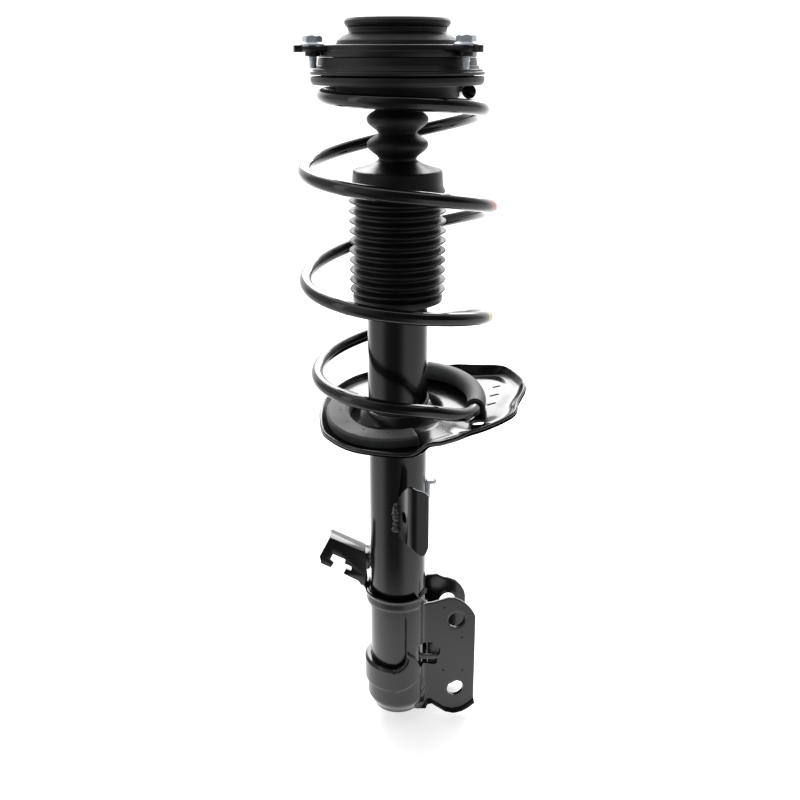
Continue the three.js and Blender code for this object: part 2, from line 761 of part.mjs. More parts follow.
addPiece("lower_spring_seat", lowerSpringSeat(), blackPaint);
addPiece("lower_insulator", lowerInsulator(), greyRubber);

// ---------- knuckle bracket ----------

const collarBore = tube.radius + fitGap;

// The sheet leaves the collar on a tangent and bends into the flange just clear of the tube.
const bendReach = collarBore + flange.tubeClear;
const bendAt = Math.sqrt(bendReach ** 2 - flange.innerHalf ** 2);
const tangentAngle = Math.asin(flange.innerHalf / bendReach) + Math.acos(collarBore / bendReach);
const wrapEnd = THREE.MathUtils.radToDeg(tangentAngle);

// The wrapped sheet in plan: one flange, round the back of the collar, the other flange.
function wrapOutline() {
  const outer = collarBore + collar.wall;
  const bend = flange.innerHalf + flange.sheet;
  const outside = arc([0, 0], outer, -wrapEnd, wrapEnd - 360, 24);
  const inside = arc([0, 0], collarBore, wrapEnd - 360, -wrapEnd, 24);
  return [
    [flange.reach, -bend],
    [bendAt, -bend],
    ...outside,
    [bendAt, bend],
    [flange.reach, bend],
    [flange.reach, flange.innerHalf],
    [bendAt, flange.innerHalf],
    ...inside,
    [bendAt, -flange.innerHalf],
    [flange.reach, -flange.innerHalf],
  ];
}

function knuckleBracket() {
  const wrap = raised(wrapOutline(), -30, collar.top);
  const side = [
    [-50, collar.bottom],
    [bendAt - 1, collar.bottom],
    [bendAt + 9, -11],
    [49, -20],
    [60, -18.5],
    [flange.reach + 1, -12],
    ...arc([flange.reach - 14, 83], 15, 0, 62, 4),
    [46, 109],
    [38, 109],
    [bendAt, 103],
    [bendAt - 7, collar.top + 1],
    [-50, collar.top + 1],
  ];
  const sideBlock = acrossY(side, -40, 40);
  const bandRadius = collarBore + collar.wall + collar.bandProud;
  const band = cut(
    turned([
      [collarBore + 1, collar.bandBottom - 2],
      [collarBore + collar.wall - 0.5, collar.bandBottom - 2],
      [bandRadius, collar.bandBottom + 1],
      [bandRadius, collar.bandTop - 1],
      [collarBore + collar.wall - 0.5, collar.bandTop],
      [collarBore + 1, collar.bandTop],
    ]),
    raised([[9, -50], [60, -50], [60, 50], [9, 50]], 0, 60),
  );
  const backWindow = raised(
    [[-50, -50], [collarWindow.edgeX, -50], [collarWindow.edgeX, 50], [-50, 50]],
    collarWindow.bottom,
    collarWindow.top,
  );
  const notchOutline = [[-5, 70], [12, 64], [bendAt + 5, 61], [36, 46], [30, 37], [14, 37], [-5, 43]];
  const notch = acrossY(notchOutline, -50, 50);
  const holes = knuckleHole.heights.map((z) => {
    const plan = arc([knuckleHole.x, z], knuckleHole.radius, 0, 345, 23);
    return acrossY(plan, -50, 50);
  });
  return joined(cut(wrap.intersect(sideBlock), backWindow, notch, ...holes), band);
}

// A curved stiffener that closes the bracket between its flanges and hugs the tube.
function bracketReinforcement() {
  const inner = collarBore;
  const outer = inner + reinforcement.wall;
  const half = reinforcement.spread / 2;
  const outline = [...arc([0, 0], outer, -half, half, 8), ...arc([0, 0], inner, half, -half, 8)];
  return raised(outline, reinforcement.bottom, reinforcement.top);
}

addPiece("knuckle_bracket", knuckleBracket(), blackPaint);
addPiece("bracket_reinforcement", bracketReinforcement(), blackPaint);

// ---------- small brackets on the tube ----------

// A radial plate for the stabiliser link stud, with its outer edge folded over.
function linkBracket() {
  const inner = -(tube.radius + fitGap + 0.3);
  const outer = -link.reach;
  const web = [
    [inner, 180],
    [inner, 219],
    [-38, 233],
    [-50, link.top],
    [outer, link.top],
    [outer, link.bottom + 8],
    [-50, link.bottom + 6],
    [-38, 181],
  ];
  const plateX = link.x + link.sheet / 2;
  const fold = [
    [link.x - link.sheet / 2, link.top],
    [plateX + 4, link.top - 3],
    [link.x + link.returnWidth - 3, link.top - 12],
    [link.x + link.returnWidth, link.top - 28],
    [link.x + link.returnWidth, link.bottom + 14],
    [link.x + link.returnWidth - 4, link.bottom],
    [link.x + 5, link.bottom + 4],
    [link.x - link.sheet / 2, link.bottom + 12],
  ];
  const hole = acrossX(arc([linkHole.y, linkHole.z], linkHole.radius, 0, 337.5, 15), -20, 20);
  const solid = joined(
    acrossX(web, link.x - link.sheet / 2, plateX),
    acrossY(fold, outer, outer + link.sheet),
  );
  return cut(solid, hole);
}

// A lumpy fillet weld along the plate's root.
function linkBracketWeld() {
  const steps = 7;
  const rise = (linkWeld.top - linkWeld.bottom) / steps;
  const profile = [[0, linkWeld.bottom]];
  for (let i = 0; i <= steps; i++) {
    const bulge = linkWeld.radius * (i % 2 ? 1 : 0.86) * (i === 0 || i === steps ? 0.7 : 1);
    profile.push([bulge, linkWeld.bottom + 1 + i * (rise - 0.2)]);
  }
  profile.push([0, linkWeld.top]);
  const bead = moved(turned(profile, 12), link.x - link.sheet / 2 - 1.2, -tube.radius, 0);
  const keepOff = acrossX([[-60, 150], [0, 150], [0, 250], [-60, 250]], link.x - link.sheet / 2 - fitGap, 20);
  return cut(bead, disc(tube.radius + fitGap, 150, 250), keepOff);
}

// A sheet clip with an open-mouthed slot for the brake hose, folded back to the tube.
function hoseBracket() {
  // Places are [distance out from the tube's wall, height].
  const fromWall = (points) => points.map(([out, z]) => [-tube.radius - out, z]);
  const face = fromWall([
    [36.5, 167],
    [46.5, 147],
    [45.5, 140],
    [36.5, 135.5],
    [33.5, 140],
    [37, 143.5],
    [34, 148.5],
    [17.5, 138.5],
    [17.5, 132],
    [22.5, 134],
    [25, 129],
    [11.5, 121.5],
    [8.5, 117],
    [3.5, 117],
    [3.5, 126],
    [5.5, 143],
    [5.5, 151],
  ]);
  const roof = fromWall([[36.5, 167], [5.5, 151], [5.5, 148], [36.5, 164]]);
  const foot = fromWall([[5.5, 151], [1.5, 149], [1.5, 134], [5.5, 134]]);
  const back = hose.frontY + hose.depth;
  const clear = disc(tube.radius + fitGap, 50, 250);
  const solid = joined(
    acrossY(face, hose.frontY, hose.frontY + hose.sheet),
    acrossY(roof, hose.frontY, back),
    acrossY(foot, hose.frontY, back),
  );
  return cut(spun(solid, hose.turn), clear);
}

// A small folded tab for a sensor lead.
function sensorTab() {
  const root = tube.radius + fitGap;
  const profile = [
    [root, 0],
    [root, sensorClip.height],
    [root + sensorClip.sheet, sensorClip.height],
    [root + sensorClip.sheet, sensorClip.sheet + 3],
    [root + sensorClip.reach, sensorClip.sheet + 6],
    [root + sensorClip.reach, 4.5],
    [root + sensorClip.sheet, 0],
  ];
  const solid = acrossY(profile, -sensorClip.width / 2, sensorClip.width / 2);
  return cut(spun(moved(solid, 0, 0, sensorClip.z - 6), sensorClip.angle), disc(tube.radius + fitGap, 150, 280));
}

addPiece("link_bracket", linkBracket(), blackPaint);
addPiece("link_bracket_weld", linkBracketWeld(), bareSteel);
addPiece("hose_bracket", hoseBracket(), blackPaint);
addPiece("sensor_tab", sensorTab(), zinc);

export default strut;
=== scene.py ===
import math

import bmesh
import bpy
import numpy as np
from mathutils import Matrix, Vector


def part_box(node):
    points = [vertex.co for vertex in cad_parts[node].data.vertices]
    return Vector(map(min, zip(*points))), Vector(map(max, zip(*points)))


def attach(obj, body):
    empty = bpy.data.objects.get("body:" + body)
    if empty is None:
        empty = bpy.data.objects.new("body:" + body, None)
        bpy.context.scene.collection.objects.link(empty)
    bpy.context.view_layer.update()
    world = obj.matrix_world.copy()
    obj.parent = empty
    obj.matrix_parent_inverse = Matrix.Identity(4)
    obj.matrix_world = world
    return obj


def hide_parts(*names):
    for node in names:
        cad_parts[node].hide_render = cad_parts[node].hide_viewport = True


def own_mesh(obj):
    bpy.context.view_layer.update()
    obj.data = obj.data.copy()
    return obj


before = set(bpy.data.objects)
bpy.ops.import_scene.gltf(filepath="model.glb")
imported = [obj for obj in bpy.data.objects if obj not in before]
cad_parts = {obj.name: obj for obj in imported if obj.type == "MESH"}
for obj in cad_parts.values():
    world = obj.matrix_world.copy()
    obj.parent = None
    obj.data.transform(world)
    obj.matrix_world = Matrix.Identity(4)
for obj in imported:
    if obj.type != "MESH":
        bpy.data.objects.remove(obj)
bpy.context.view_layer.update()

mm = 0.001


def footOf(node):
    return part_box(node)[0][2] / mm  # the lowest height of a frame part, in millimetres


def topOf(node):
    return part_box(node)[1][2] / mm


# What the rest is worked out from, in millimetres like every size below.
tubeRadius = 25.5
tubeTop = topOf("damper_tube")
seatTop = topOf("upper_spring_seat")

# Camera

view = {
    "place": (-0.1585, -0.7300, 0.585),
    "tilt": 18.39,  # degrees below level
    "heading": -12.4,
    "lens": 41.27,
    "sensor": 36,
    "lift": -0.0504,
}


def addObject(name, data):
    made = bpy.data.objects.new(name, data)
    bpy.context.scene.collection.objects.link(made)
    return made


camera = addObject("camera", bpy.data.cameras.new("camera"))
camera.location = view["place"]
camera.rotation_euler = (math.radians(90 - view["tilt"]), 0, math.radians(view["heading"]))
camera.data.lens = view["lens"]
camera.data.sensor_width = view["sensor"]
camera.data.shift_y = view["lift"]
bpy.context.scene.camera = camera
bpy.context.scene.view_settings.view_transform = "Standard"


# Shader maths


class Wire:
    # One socket of a material. Sums written on it add Math nodes.
    def __init__(self, paint, socket):
        self.paint = paint
        self.socket = socket

    def sum(self, operation, other, reflected=False):
        first, second = (other, self) if reflected else (self, other)
        return self.paint.node("ShaderNodeMath", {"operation": operation}, {0: first, 1: second})

    def __add__(self, other):
        return self.sum("ADD", other)

    def __sub__(self, other):
        return self.sum("SUBTRACT", other)

    def __rsub__(self, other):
        return self.sum("SUBTRACT", other, True)

    def __mul__(self, other):
        return self.sum("MULTIPLY", other)

    __radd__ = __add__
    __rmul__ = __mul__


class Paint:
    # The nodes of a new material, or of the room. Fixed numbers go straight on the shader's sockets.
    def __init__(self, owner, shader="Principled BSDF", **fixed):
        self.owner = bpy.data.materials.new(owner) if isinstance(owner, str) else owner
        self.owner.use_nodes = True
        self.tree = self.owner.node_tree
        self.shader = self.tree.nodes[shader]
        for label, value in fixed.items():
            self.shader.inputs[label.replace("_", " ")].default_value = value

    def node(self, kind, settings=None, inputs=None, output=0):
        made = self.tree.nodes.new(kind)
        for name, value in (settings or {}).items():
            setattr(made, name, value)
        for key, value in (inputs or {}).items():
            if isinstance(value, Wire):
                self.tree.links.new(value.socket, made.inputs[key])
            else:
                made.inputs[key].default_value = value
        return Wire(self, made.outputs[output])

    def vector(self, operation, first, second=(0, 0, 0), output="Vector"):
        return self.node("ShaderNodeVectorMath", {"operation": operation}, {0: first, 1: second}, output)

    def spot(self, kind="Object"):
        return self.node("ShaderNodeTexCoord", output=kind)

    def place(self, stretch=(1, 1, 1), turn=(0, 0, 0)):
        # Object coordinates, stretched and turned
        settings = {"Vector": self.spot(), "Scale": stretch, "Rotation": turn}
        return self.node("ShaderNodeMapping", inputs=settings)

    def noise(self, scale, detail=3, rough=0.55, at=None):
        settings = {"Vector": at or self.place(), "Scale": scale, "Detail": detail, "Roughness": rough}
        return self.node("ShaderNodeTexNoise", inputs=settings)

    def flecks(self, scale):
        # distance to the nearest of many scattered points
        return self.node("ShaderNodeTexVoronoi", inputs={"Vector": self.place(), "Scale": scale})

    def fade(self, value, start, end, low=0, high=1):
        # low below start, high above end, smooth between
        ends = {"Value": value, "From Min": start, "From Max": end, "To Min": low, "To Max": high}
        return self.node("ShaderNodeMapRange", {"interpolation_type": "SMOOTHSTEP"}, ends)

    def mix(self, factor, first, second):
        # the numbers 6 and 7 are the node's two colour sockets, 2 its colour output
        first, second = (shade if isinstance(shade, Wire) else (*shade, 1) for shade in (first, second))
        return self.node("ShaderNodeMix", {"data_type": "RGBA"}, {"Factor": factor, 6: first, 7: second}, 2)

    def feed(self, **wires):
        for label, wire in wires.items():
            self.tree.links.new(wire.socket, self.shader.inputs[label.replace("_", " ")])
        return self.owner

    def finish(self, colour, roughness, skin, depth):
        # colour and roughness, and a skin of this depth in metres for the bump
        height = self.node("ShaderNodeBump", inputs={"Height": skin, "Distance": depth, "Strength": 1})
        return self.feed(Base_Color=colour, Roughness=roughness, Normal=height)


# Finishes

blackCoat = {
    "deep": (0.004, 0.0039, 0.0052), "dusty": (0.009, 0.0089, 0.0112), "gloss": 0.12, "peel": 0.00007,
    "clear": 0.15,
}


def blackPaint():
    # Dipped black coat: deep colour, cloudy gloss, orange-peel skin, a few dust nibs.
    clear = blackCoat["clear"]
    paint = Paint("black dip coat", Coat_Weight=clear, Coat_Roughness=0.06, Specular_IOR_Level=0.5)
    cloud = paint.noise(22, 5)
    nibs = paint.fade(paint.flecks(420), 0.1, 0.02)
    rub = paint.fade(paint.noise(9, 8, 0.7), 0.6, 0.74)
    colour = paint.mix(cloud * 0.6 + rub * 0.4, blackCoat["deep"], blackCoat["dusty"])
    gloss = blackCoat["gloss"] + cloud * 0.09 + rub * 0.1 + nibs * 0.2
    skin = paint.noise(520, 2) * 0.6 + paint.noise(120, 3) * 0.8 + nibs * 0.9
    return paint.finish(colour, gloss, skin, blackCoat["peel"])


satinCoat = {
    "deep": (0.006, 0.0058, 0.0078), "clouded": (0.0125, 0.0124, 0.0152), "gloss": 0.34, "grain": 0.00004,
}


def satinPaint():
    # Thin electro coat: even satin black with faint clouds and fine grain.
    paint = Paint("satin electro coat", Specular_IOR_Level=0.45)
    cloud = paint.noise(28, 5)
    grain = paint.noise(900, 2)
    colour = paint.mix(cloud, satinCoat["deep"], satinCoat["clouded"])
    return paint.finish(colour, satinCoat["gloss"] + cloud * 0.12, grain + cloud, satinCoat["grain"])


springCoat = {
    "deep": (0.0032, 0.0032, 0.0042),
    "dull": (0.008, 0.008, 0.0098),
    "gloss": 0.05,
    "skin": 0.00008,
    "clear": 0.2,
    # middle turn, half length in turns, middle of the way round the wire, half width, colour
    "marks": [
        (1.944, 0.017, 0.88, 0.22, (0.62, 0.085, 0.075)),
        (2.945, 0.013, 0.88, 0.22, (0.72, 0.62, 0.42)),
    ],
}


def springPaint():
    # Gloss powder coat on wire, with two brushed colour marks that follow the wire.
    paint = Paint("spring powder coat", Coat_Weight=springCoat["clear"], Coat_Roughness=0.05)
    wire = paint.node("ShaderNodeUVMap", {"uv_map": "wire"})
    parts = paint.node("ShaderNodeSeparateXYZ", inputs={0: wire})
    turn, around = parts, Wire(paint, parts.socket.node.outputs[1])
    cloud = paint.noise(30, 5)
    colour = paint.mix(cloud, springCoat["deep"], springCoat["dull"])
    ragged = paint.noise(300, 3) * 0.012 - 0.006
    painted = 0
    for middle, half, side, width, shade in springCoat["marks"]:
        far = paint.node("ShaderNodeMath", {"operation": "ABSOLUTE"}, {0: turn + ragged - middle})
        off = paint.node("ShaderNodeMath", {"operation": "PINGPONG"}, {0: around - side, 1: 0.5})
        mark = paint.fade(far, half, half * 0.8) * paint.fade(off + ragged * 3, width, width * 0.85)
        colour = paint.mix(mark * 0.9, colour, shade)
        painted = mark + painted
    skin = paint.noise(260, 3) + paint.noise(60, 2) * 0.7 + painted * 0.5
    gloss = springCoat["gloss"] + cloud * 0.06 + painted * 0.3
    return paint.finish(colour, gloss, skin, springCoat["skin"])


def rubber(name, dark, bloom, roughness, grain=0.00006, sheen=0.0):
    # Moulded rubber: fine grain, chalky bloom in patches and faint flow lines round the axis.
    paint = Paint(name, Specular_IOR_Level=0.42, Sheen_Weight=sheen, Sheen_Roughness=0.4)
    patches = paint.fade(paint.noise(26, 6, 0.65), 0.42, 0.68)
    flow = paint.noise(1, 4, 0.6, paint.place((25, 25, 420)))
    speck = paint.fade(paint.flecks(900), 0.12, 0.04)
    colour = paint.mix(patches * 0.55 + flow * 0.25 + speck * 0.35, dark, bloom)
    skin = paint.noise(1500, 2) + flow * 0.5 + speck * 0.4
    rough = roughness + patches * 0.12 - flow * 0.06
    return paint.finish(colour, rough, skin, grain)


plastic = {
    "deep": (0.008, 0.0078, 0.0102), "scuffed": (0.021, 0.0208, 0.025), "gloss": 0.42, "grain": 0.00005,
}


def mouldedPlastic():
    # Glass-filled black plastic: matt skin, fibre streaks, lighter scuffed patches.
    paint = Paint("black moulded plastic", Specular_IOR_Level=0.45)
    fibre = paint.noise(1, 3, 0.6, paint.place((700, 120, 300), (0, 0, 0.7)))
    scuff = paint.fade(paint.noise(40, 7, 0.7), 0.58, 0.72)
    colour = paint.mix(fibre * 0.4 + scuff * 0.5, plastic["deep"], plastic["scuffed"])
    rough = plastic["gloss"] + fibre * 0.12 + scuff * 0.1
    return paint.finish(colour, rough, fibre + scuff * 0.3, plastic["grain"])


def metal(name, dark, light, roughness, grain, lines=(1, 1, 1), metallic=1.0):
    # Bare or plated metal: tone clouds, fine directional lines, small pits.
    paint = Paint(name, Metallic=metallic)
    cloud = paint.noise(120, 5, 0.6)
    drawn = paint.noise(1, 3, 0.6, paint.place([400 * share for share in lines]))
    pits = paint.fade(paint.flecks(700), 0.16, 0.05)
    colour = paint.mix(cloud * 0.7 + drawn * 0.3, dark, light)
    rough = roughness + cloud * 0.16 + pits * 0.12
    return paint.finish(colour, rough, drawn + cloud * 0.6 - pits, grain)


weldCoat = {"black": (0.02, 0.02, 0.022), "bright": (0.34, 0.34, 0.36), "gloss": 0.34, "crust": 0.0004}


def weldMetal():
    # Painted-over weld: black coat broken by bright spatter and heat-greyed crests.
    paint = Paint("painted weld", Metallic=0.25)
    crust = paint.noise(520, 6, 0.7)
    spatter = paint.fade(paint.flecks(380), 0.2, 0.06)
    colour = paint.mix(paint.fade(crust + spatter * 0.4, 0.4, 0.75), weldCoat["black"], weldCoat["bright"])
    return paint.finish(colour, weldCoat["gloss"] + crust * 0.3, crust + spatter, weldCoat["crust"])


blackCompound = (0.0058, 0.0056, 0.0075)
coats = {
    "black_paint": blackPaint(),
    "satin_paint": satinPaint(),
    "spring": springPaint(),
    "black_rubber": rubber("black moulded rubber", blackCompound, (0.018, 0.0178, 0.0215), 0.5),
    "boot_rubber": rubber("black boot rubber", blackCompound, (0.0145, 0.0144, 0.0175), 0.4, 0.00005),
    "foam_rubber": rubber("black foam bumper", (0.007, 0.0068, 0.009), (0.021, 0.0208, 0.025), 0.55, 0.00011),
    "grey_rubber": rubber(
        "grey seat rubber", (0.068, 0.071, 0.074), (0.115, 0.118, 0.122), 0.56, 0.00007, sheen=0.15,
    ),
    "black_plastic": mouldedPlastic(),
    "zinc_plate": metal(
        "blue zinc plate", (0.62, 0.7, 0.78), (0.88, 0.92, 0.96), 0.3, 0.00004, metallic=0.45,
    ),
    "bare_steel": metal("bare steel", (0.3, 0.3, 0.31), (0.55, 0.55, 0.56), 0.32, 0.00005, (1, 1, 0.1)),
    "chromed_rod": metal("hard chrome", (0.6, 0.61, 0.63), (0.78, 0.79, 0.8), 0.06, 0.00001, (1, 1, 0.05)),
    "sintered_iron": metal("sintered iron", (0.16, 0.155, 0.15), (0.3, 0.29, 0.28), 0.5, 0.0001),
    "weld_bead": weldMetal(),
}
print("finishes ready", len(coats))

# Room, light and what the gloss mirrors: strengths, and headings and widths in degrees

studio = {
    "floor": -0.0225,  # metres, just under the bracket's lowest edge
    "side": 0.5,  # the room's glow at the sides and behind
    "back": 2.3,
    "near": 1.05,  # the painted glow of the floor close to the foot, as the gloss sees it
    # the black card's strength in the room, and of the painted dark reflection in the floor's glow
    "dark": 0.05,
    "darkHeading": -69,  # degrees, the middle of the black card behind the camera
    "darkHalf": 61,
    "floorDark": -119,  # the middle of the painted dark reflection in the mirrored floor
    "floorDarkHalf": 30,
    "edge": 22,  # half the width of a card's soft edge
    "backHeading": 78,
}


def heading(degrees):
    # a level direction, counted from x towards y
    return np.array([math.cos(math.radians(degrees)), math.sin(math.radians(degrees)), 0])


def facing(paint, spot, degrees):
    # 1 towards a heading, -1 away from it
    return paint.vector("DOT_PRODUCT", paint.vector("NORMALIZE", spot), heading(degrees), "Value")


def cardEdge(half):
    # where a black card of this half width starts and is full, as facing() counts it
    return [math.cos(math.radians(half + side * studio["edge"])) for side in (1, -1)]


def lightTheRoom():
    # White all round and brightest behind, with a dark card on the camera's side.
    world = bpy.data.worlds.new("studio")
    bpy.context.scene.world = world
    room = Paint(world, "Background", Color=(1, 1, 1, 1))
    flat = room.vector("MULTIPLY", room.spot("Generated"), (1, 1, 0.4))
    behind = room.fade(facing(room, flat, studio["backHeading"]), 0.45, 0.97, studio["side"], studio["back"])
    dark = room.fade(facing(room, flat, studio["darkHeading"]), *cardEdge(studio["darkHalf"]))
    seen = room.node("ShaderNodeLightPath", output="Is Camera Ray")
    room.feed(Strength=(behind * (1 - dark) + dark * studio["dark"]) * (1 - seen) + seen)


lightTheRoom()


def softbox(name, place, aim, size, power):
    light = addObject(name, bpy.data.lights.new(name, "AREA"))
    light.data.shape = "RECTANGLE"
    light.data.size, light.data.size_y = size
    light.data.energy = power
    light.location = place
    light.rotation_euler = (Vector(aim) - Vector(place)).to_track_quat("-Z", "Y").to_euler()


# place, what it aims at, size, power in watts
softboxes = {
    "top softbox": ((0.1, 0.5, 2.2), (0, 0, 0.2), (2.6, 2.0), 14),
    "back softbox": ((0.5, 2.2, 1.9), (0, 0, 0.35), (2.6, 1.4), 80),
    "left softbox": ((-1.5, -0.3, 0.9), (0, 0, 0.35), (0.4, 1.5), 1.5),
}
for name, settings in softboxes.items():
    softbox(name, *settings)
print("room and light ready")


# Shapes worked out on grids


def gridFaces(rows, columns, closedRows=False, closedColumns=True):
    # four-sided faces between the points of a grid, its edges joined up where closed
    row = np.arange(rows if closedRows else rows - 1)
    column = np.arange(columns if closedColumns else columns - 1)
    row, column = np.meshgrid(row, column, indexing="ij")
    nextRow, nextColumn = (row + 1) % rows, (column + 1) % columns
    corners = [(row, column), (row, nextColumn), (nextRow, nextColumn), (nextRow, column)]
    return np.stack([r * columns + c for r, c in corners], -1).reshape(-1, 4)


def fullTurn(count):
    # evenly spaced angles once round
    return np.linspace(0, 2 * math.pi, count, endpoint=False)


def polar(radius, angle, height):
    # x = r cos a, y = r sin a, z = height
    radius, angle, height = np.broadcast_arrays(radius, angle, height)
    return np.stack([radius * np.cos(angle), radius * np.sin(angle), height], -1)


def unit(vectors):
    # the same directions, each of length one
    return vectors / (np.linalg.norm(vectors, axis=-1, keepdims=True) + 1e-9)


def smoothstep(value, start, end):
    # 0 before start, 1 after end, t^2 (3 - 2 t) between
    t = np.clip((value - start) / (end - start), 0, 1)
    return t * t * (3 - 2 * t)


def rounded(points, steps=4):
    # A closed outline from [x, y, corner radius]: each corner is an arc between its two sides.
    points = np.array(points, float)
    made = []
    for before, here, after in zip(np.roll(points, 1, 0), points, np.roll(points, -1, 0)):
        corner, radius = here[:2], here[2]
        back, ahead = before[:2] - corner, after[:2] - corner
        backLength, aheadLength = np.linalg.norm(back), np.linalg.norm(ahead)
        back, ahead = back / backLength, ahead / aheadLength
        half = math.acos(np.clip(back @ ahead, -1, 1)) / 2
        if radius <= 0 or half > 1.55:
            made.append(corner[None])
            continue
        cut = min(radius / math.tan(half), 0.48 * backLength, 0.48 * aheadLength)
        radius = cut * math.tan(half)
        middle = corner + (back + ahead) / np.linalg.norm(back + ahead) * radius / math.sin(half)
        start, end = corner + back * cut - middle, corner + ahead * cut - middle
        share = np.linspace(0, 1, steps + 1)[:, None]
        swing = math.pi - 2 * half
        arc = np.sin((1 - share) * swing) * start + np.sin(share * swing) * end
        made.append(middle + arc / math.sin(swing))
    return np.concatenate(made)


def shellMesh(name, points, faces, wrap=None):
    # Puts points in millimetres into a mesh, merges poles and seams, turns faces outwards.
    mesh = bpy.data.meshes.new(name)
    points = np.asarray(points, float).reshape(-1, 3) * mm
    mesh.from_pydata(points.tolist(), [], [list(face) for face in faces])
    if wrap is not None:
        mesh.uv_layers.new(name="wire").data.foreach_set("uv", np.asarray(wrap, np.float32).reshape(-1))
    work = bmesh.new()
    work.from_mesh(mesh)
    bmesh.ops.remove_doubles(work, verts=work.verts, dist=2e-6)
    bmesh.ops.dissolve_degenerate(work, dist=1e-7, edges=work.edges)
    bmesh.ops.recalc_face_normals(work, faces=work.faces)
    work.to_mesh(mesh)
    work.free()
    return mesh


def smoothFaces(mesh, sharp):
    # smooth shading, but for edges over this many degrees
    mesh.polygons.foreach_set("use_smooth", np.ones(len(mesh.polygons), bool))
    mesh.set_sharp_from_angle(angle=math.radians(sharp))


def makePiece(name, points, faces, coat, body, node=None, slot=None, wrap=None, sharp=36):
    # a finished piece in its coat, riding on a body, standing for a frame part
    piece = addObject(name, shellMesh(name, points, faces, wrap))
    piece.data.materials.append(coats[coat])
    smoothFaces(piece.data, sharp)
    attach(piece, body)
    if node:
        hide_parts(node)
    return piece


def turnedGrid(outline, facets):
    # each outline point [radius, height] goes round the axis
    points = polar(outline[:, :1], fullTurn(facets), outline[:, 1:2])
    return points, gridFaces(len(outline), facets, closedRows=True)


def turnedPart(corners, level=0, facets=128):
    # an outline of [radius, height, corner radius] turned, its heights counted from a level
    return turnedGrid(rounded(np.array(corners, float) + [0, level, 0]), facets)


def turned(name, corners, coat, body, node, level=0, facets=128, slot=None):
    return makePiece(name, *turnedPart(corners, level, facets), coat, body, node, slot)


def spun(points, degrees):
    # turned about the upright axis, in plan or in space
    c, s = math.cos(math.radians(degrees)), math.sin(math.radians(degrees))
    points = np.asarray(points)
    axes = points.shape[-1]
    return points @ np.array([[c, s, 0], [-s, c, 0], [0, 0, 1]])[:axes, :axes]


def sweep(line, section, sides, ups, closed=False):
    # Carries a section along a line: point = line + side * x + up * y. Open ends are drawn to a point.
    points = line[:, None] + sides[:, None] * section[..., :1] + ups[:, None] * section[..., 1:]
    if not closed:
        count = points.shape[1]
        first, last = (np.repeat(points[[row]].mean(1, keepdims=True), count, 1) for row in (0, -1))
        points = np.concatenate([first, points, last])
    return points, gridFaces(len(points), points.shape[1], closedRows=closed)


def lidded(points):
    # a grid of rings closed by flat lids: points, faces, lids
    rows, count = points.shape[:2]
    lids = [list(range(count)), list(range((rows - 1) * count, rows * count))]
    return points.reshape(-1, 3), gridFaces(rows, count), lids


def slab(outline, low, high, edge=0.5, steps=3):
    # A flat outline raised from low to high, its edges rounded by insetting along the outline's normal.
    along = unit(np.roll(outline, -1, 0) - np.roll(outline, 1, 0))
    area = np.sum(outline[:, 0] * np.roll(outline[:, 1], -1) - outline[:, 1] * np.roll(outline[:, 0], -1))
    inward = np.stack([-along[:, 1], along[:, 0]], 1) * np.sign(area)
    turn = np.linspace(0, math.pi / 2, steps)
    inset = edge * (1 - np.sin(turn))
    rise = low + edge * (1 - np.cos(turn))
    inset, rise = np.concatenate([inset, inset[::-1]]), np.concatenate([rise, (low + high) - rise[::-1]])
    flat = outline[None] + inward[None] * inset[:, None, None]
    height = np.broadcast_to(rise[:, None, None], (*flat.shape[:2], 1))
    return lidded(np.concatenate([flat, height], -1))


def joined(*parts):
    # several closed shells as one list of points and one of faces
    points, faces, count = [], [], 0
    for some, quads, *lids in parts:
        some = np.asarray(some).reshape(-1, 3)
        points.append(some)
        faces += (np.asarray(quads) + count).tolist()
        faces += [[i + count for i in lid] for lid in (lids[0] if lids else [])]
        count += len(some)
    return np.concatenate(points), faces


def movedPart(part, change, *settings):
    # a part with its points changed, its faces kept
    return (change(np.asarray(part[0]).reshape(-1, 3), *settings), *part[1:])


def standing(points, turn=0):
    # an outline drawn in x and z, its thickness along y, then turned
    return spun(points[:, [0, 2, 1]], turn)


def resampled(line, steps):
    # the line's points at even steps of its length
    length = np.concatenate([[0], np.cumsum(np.linalg.norm(np.diff(line, axis=0), axis=1))])
    return np.stack([np.interp(steps, length, line[:, i]) for i in range(line.shape[1])], 1), length[-1]


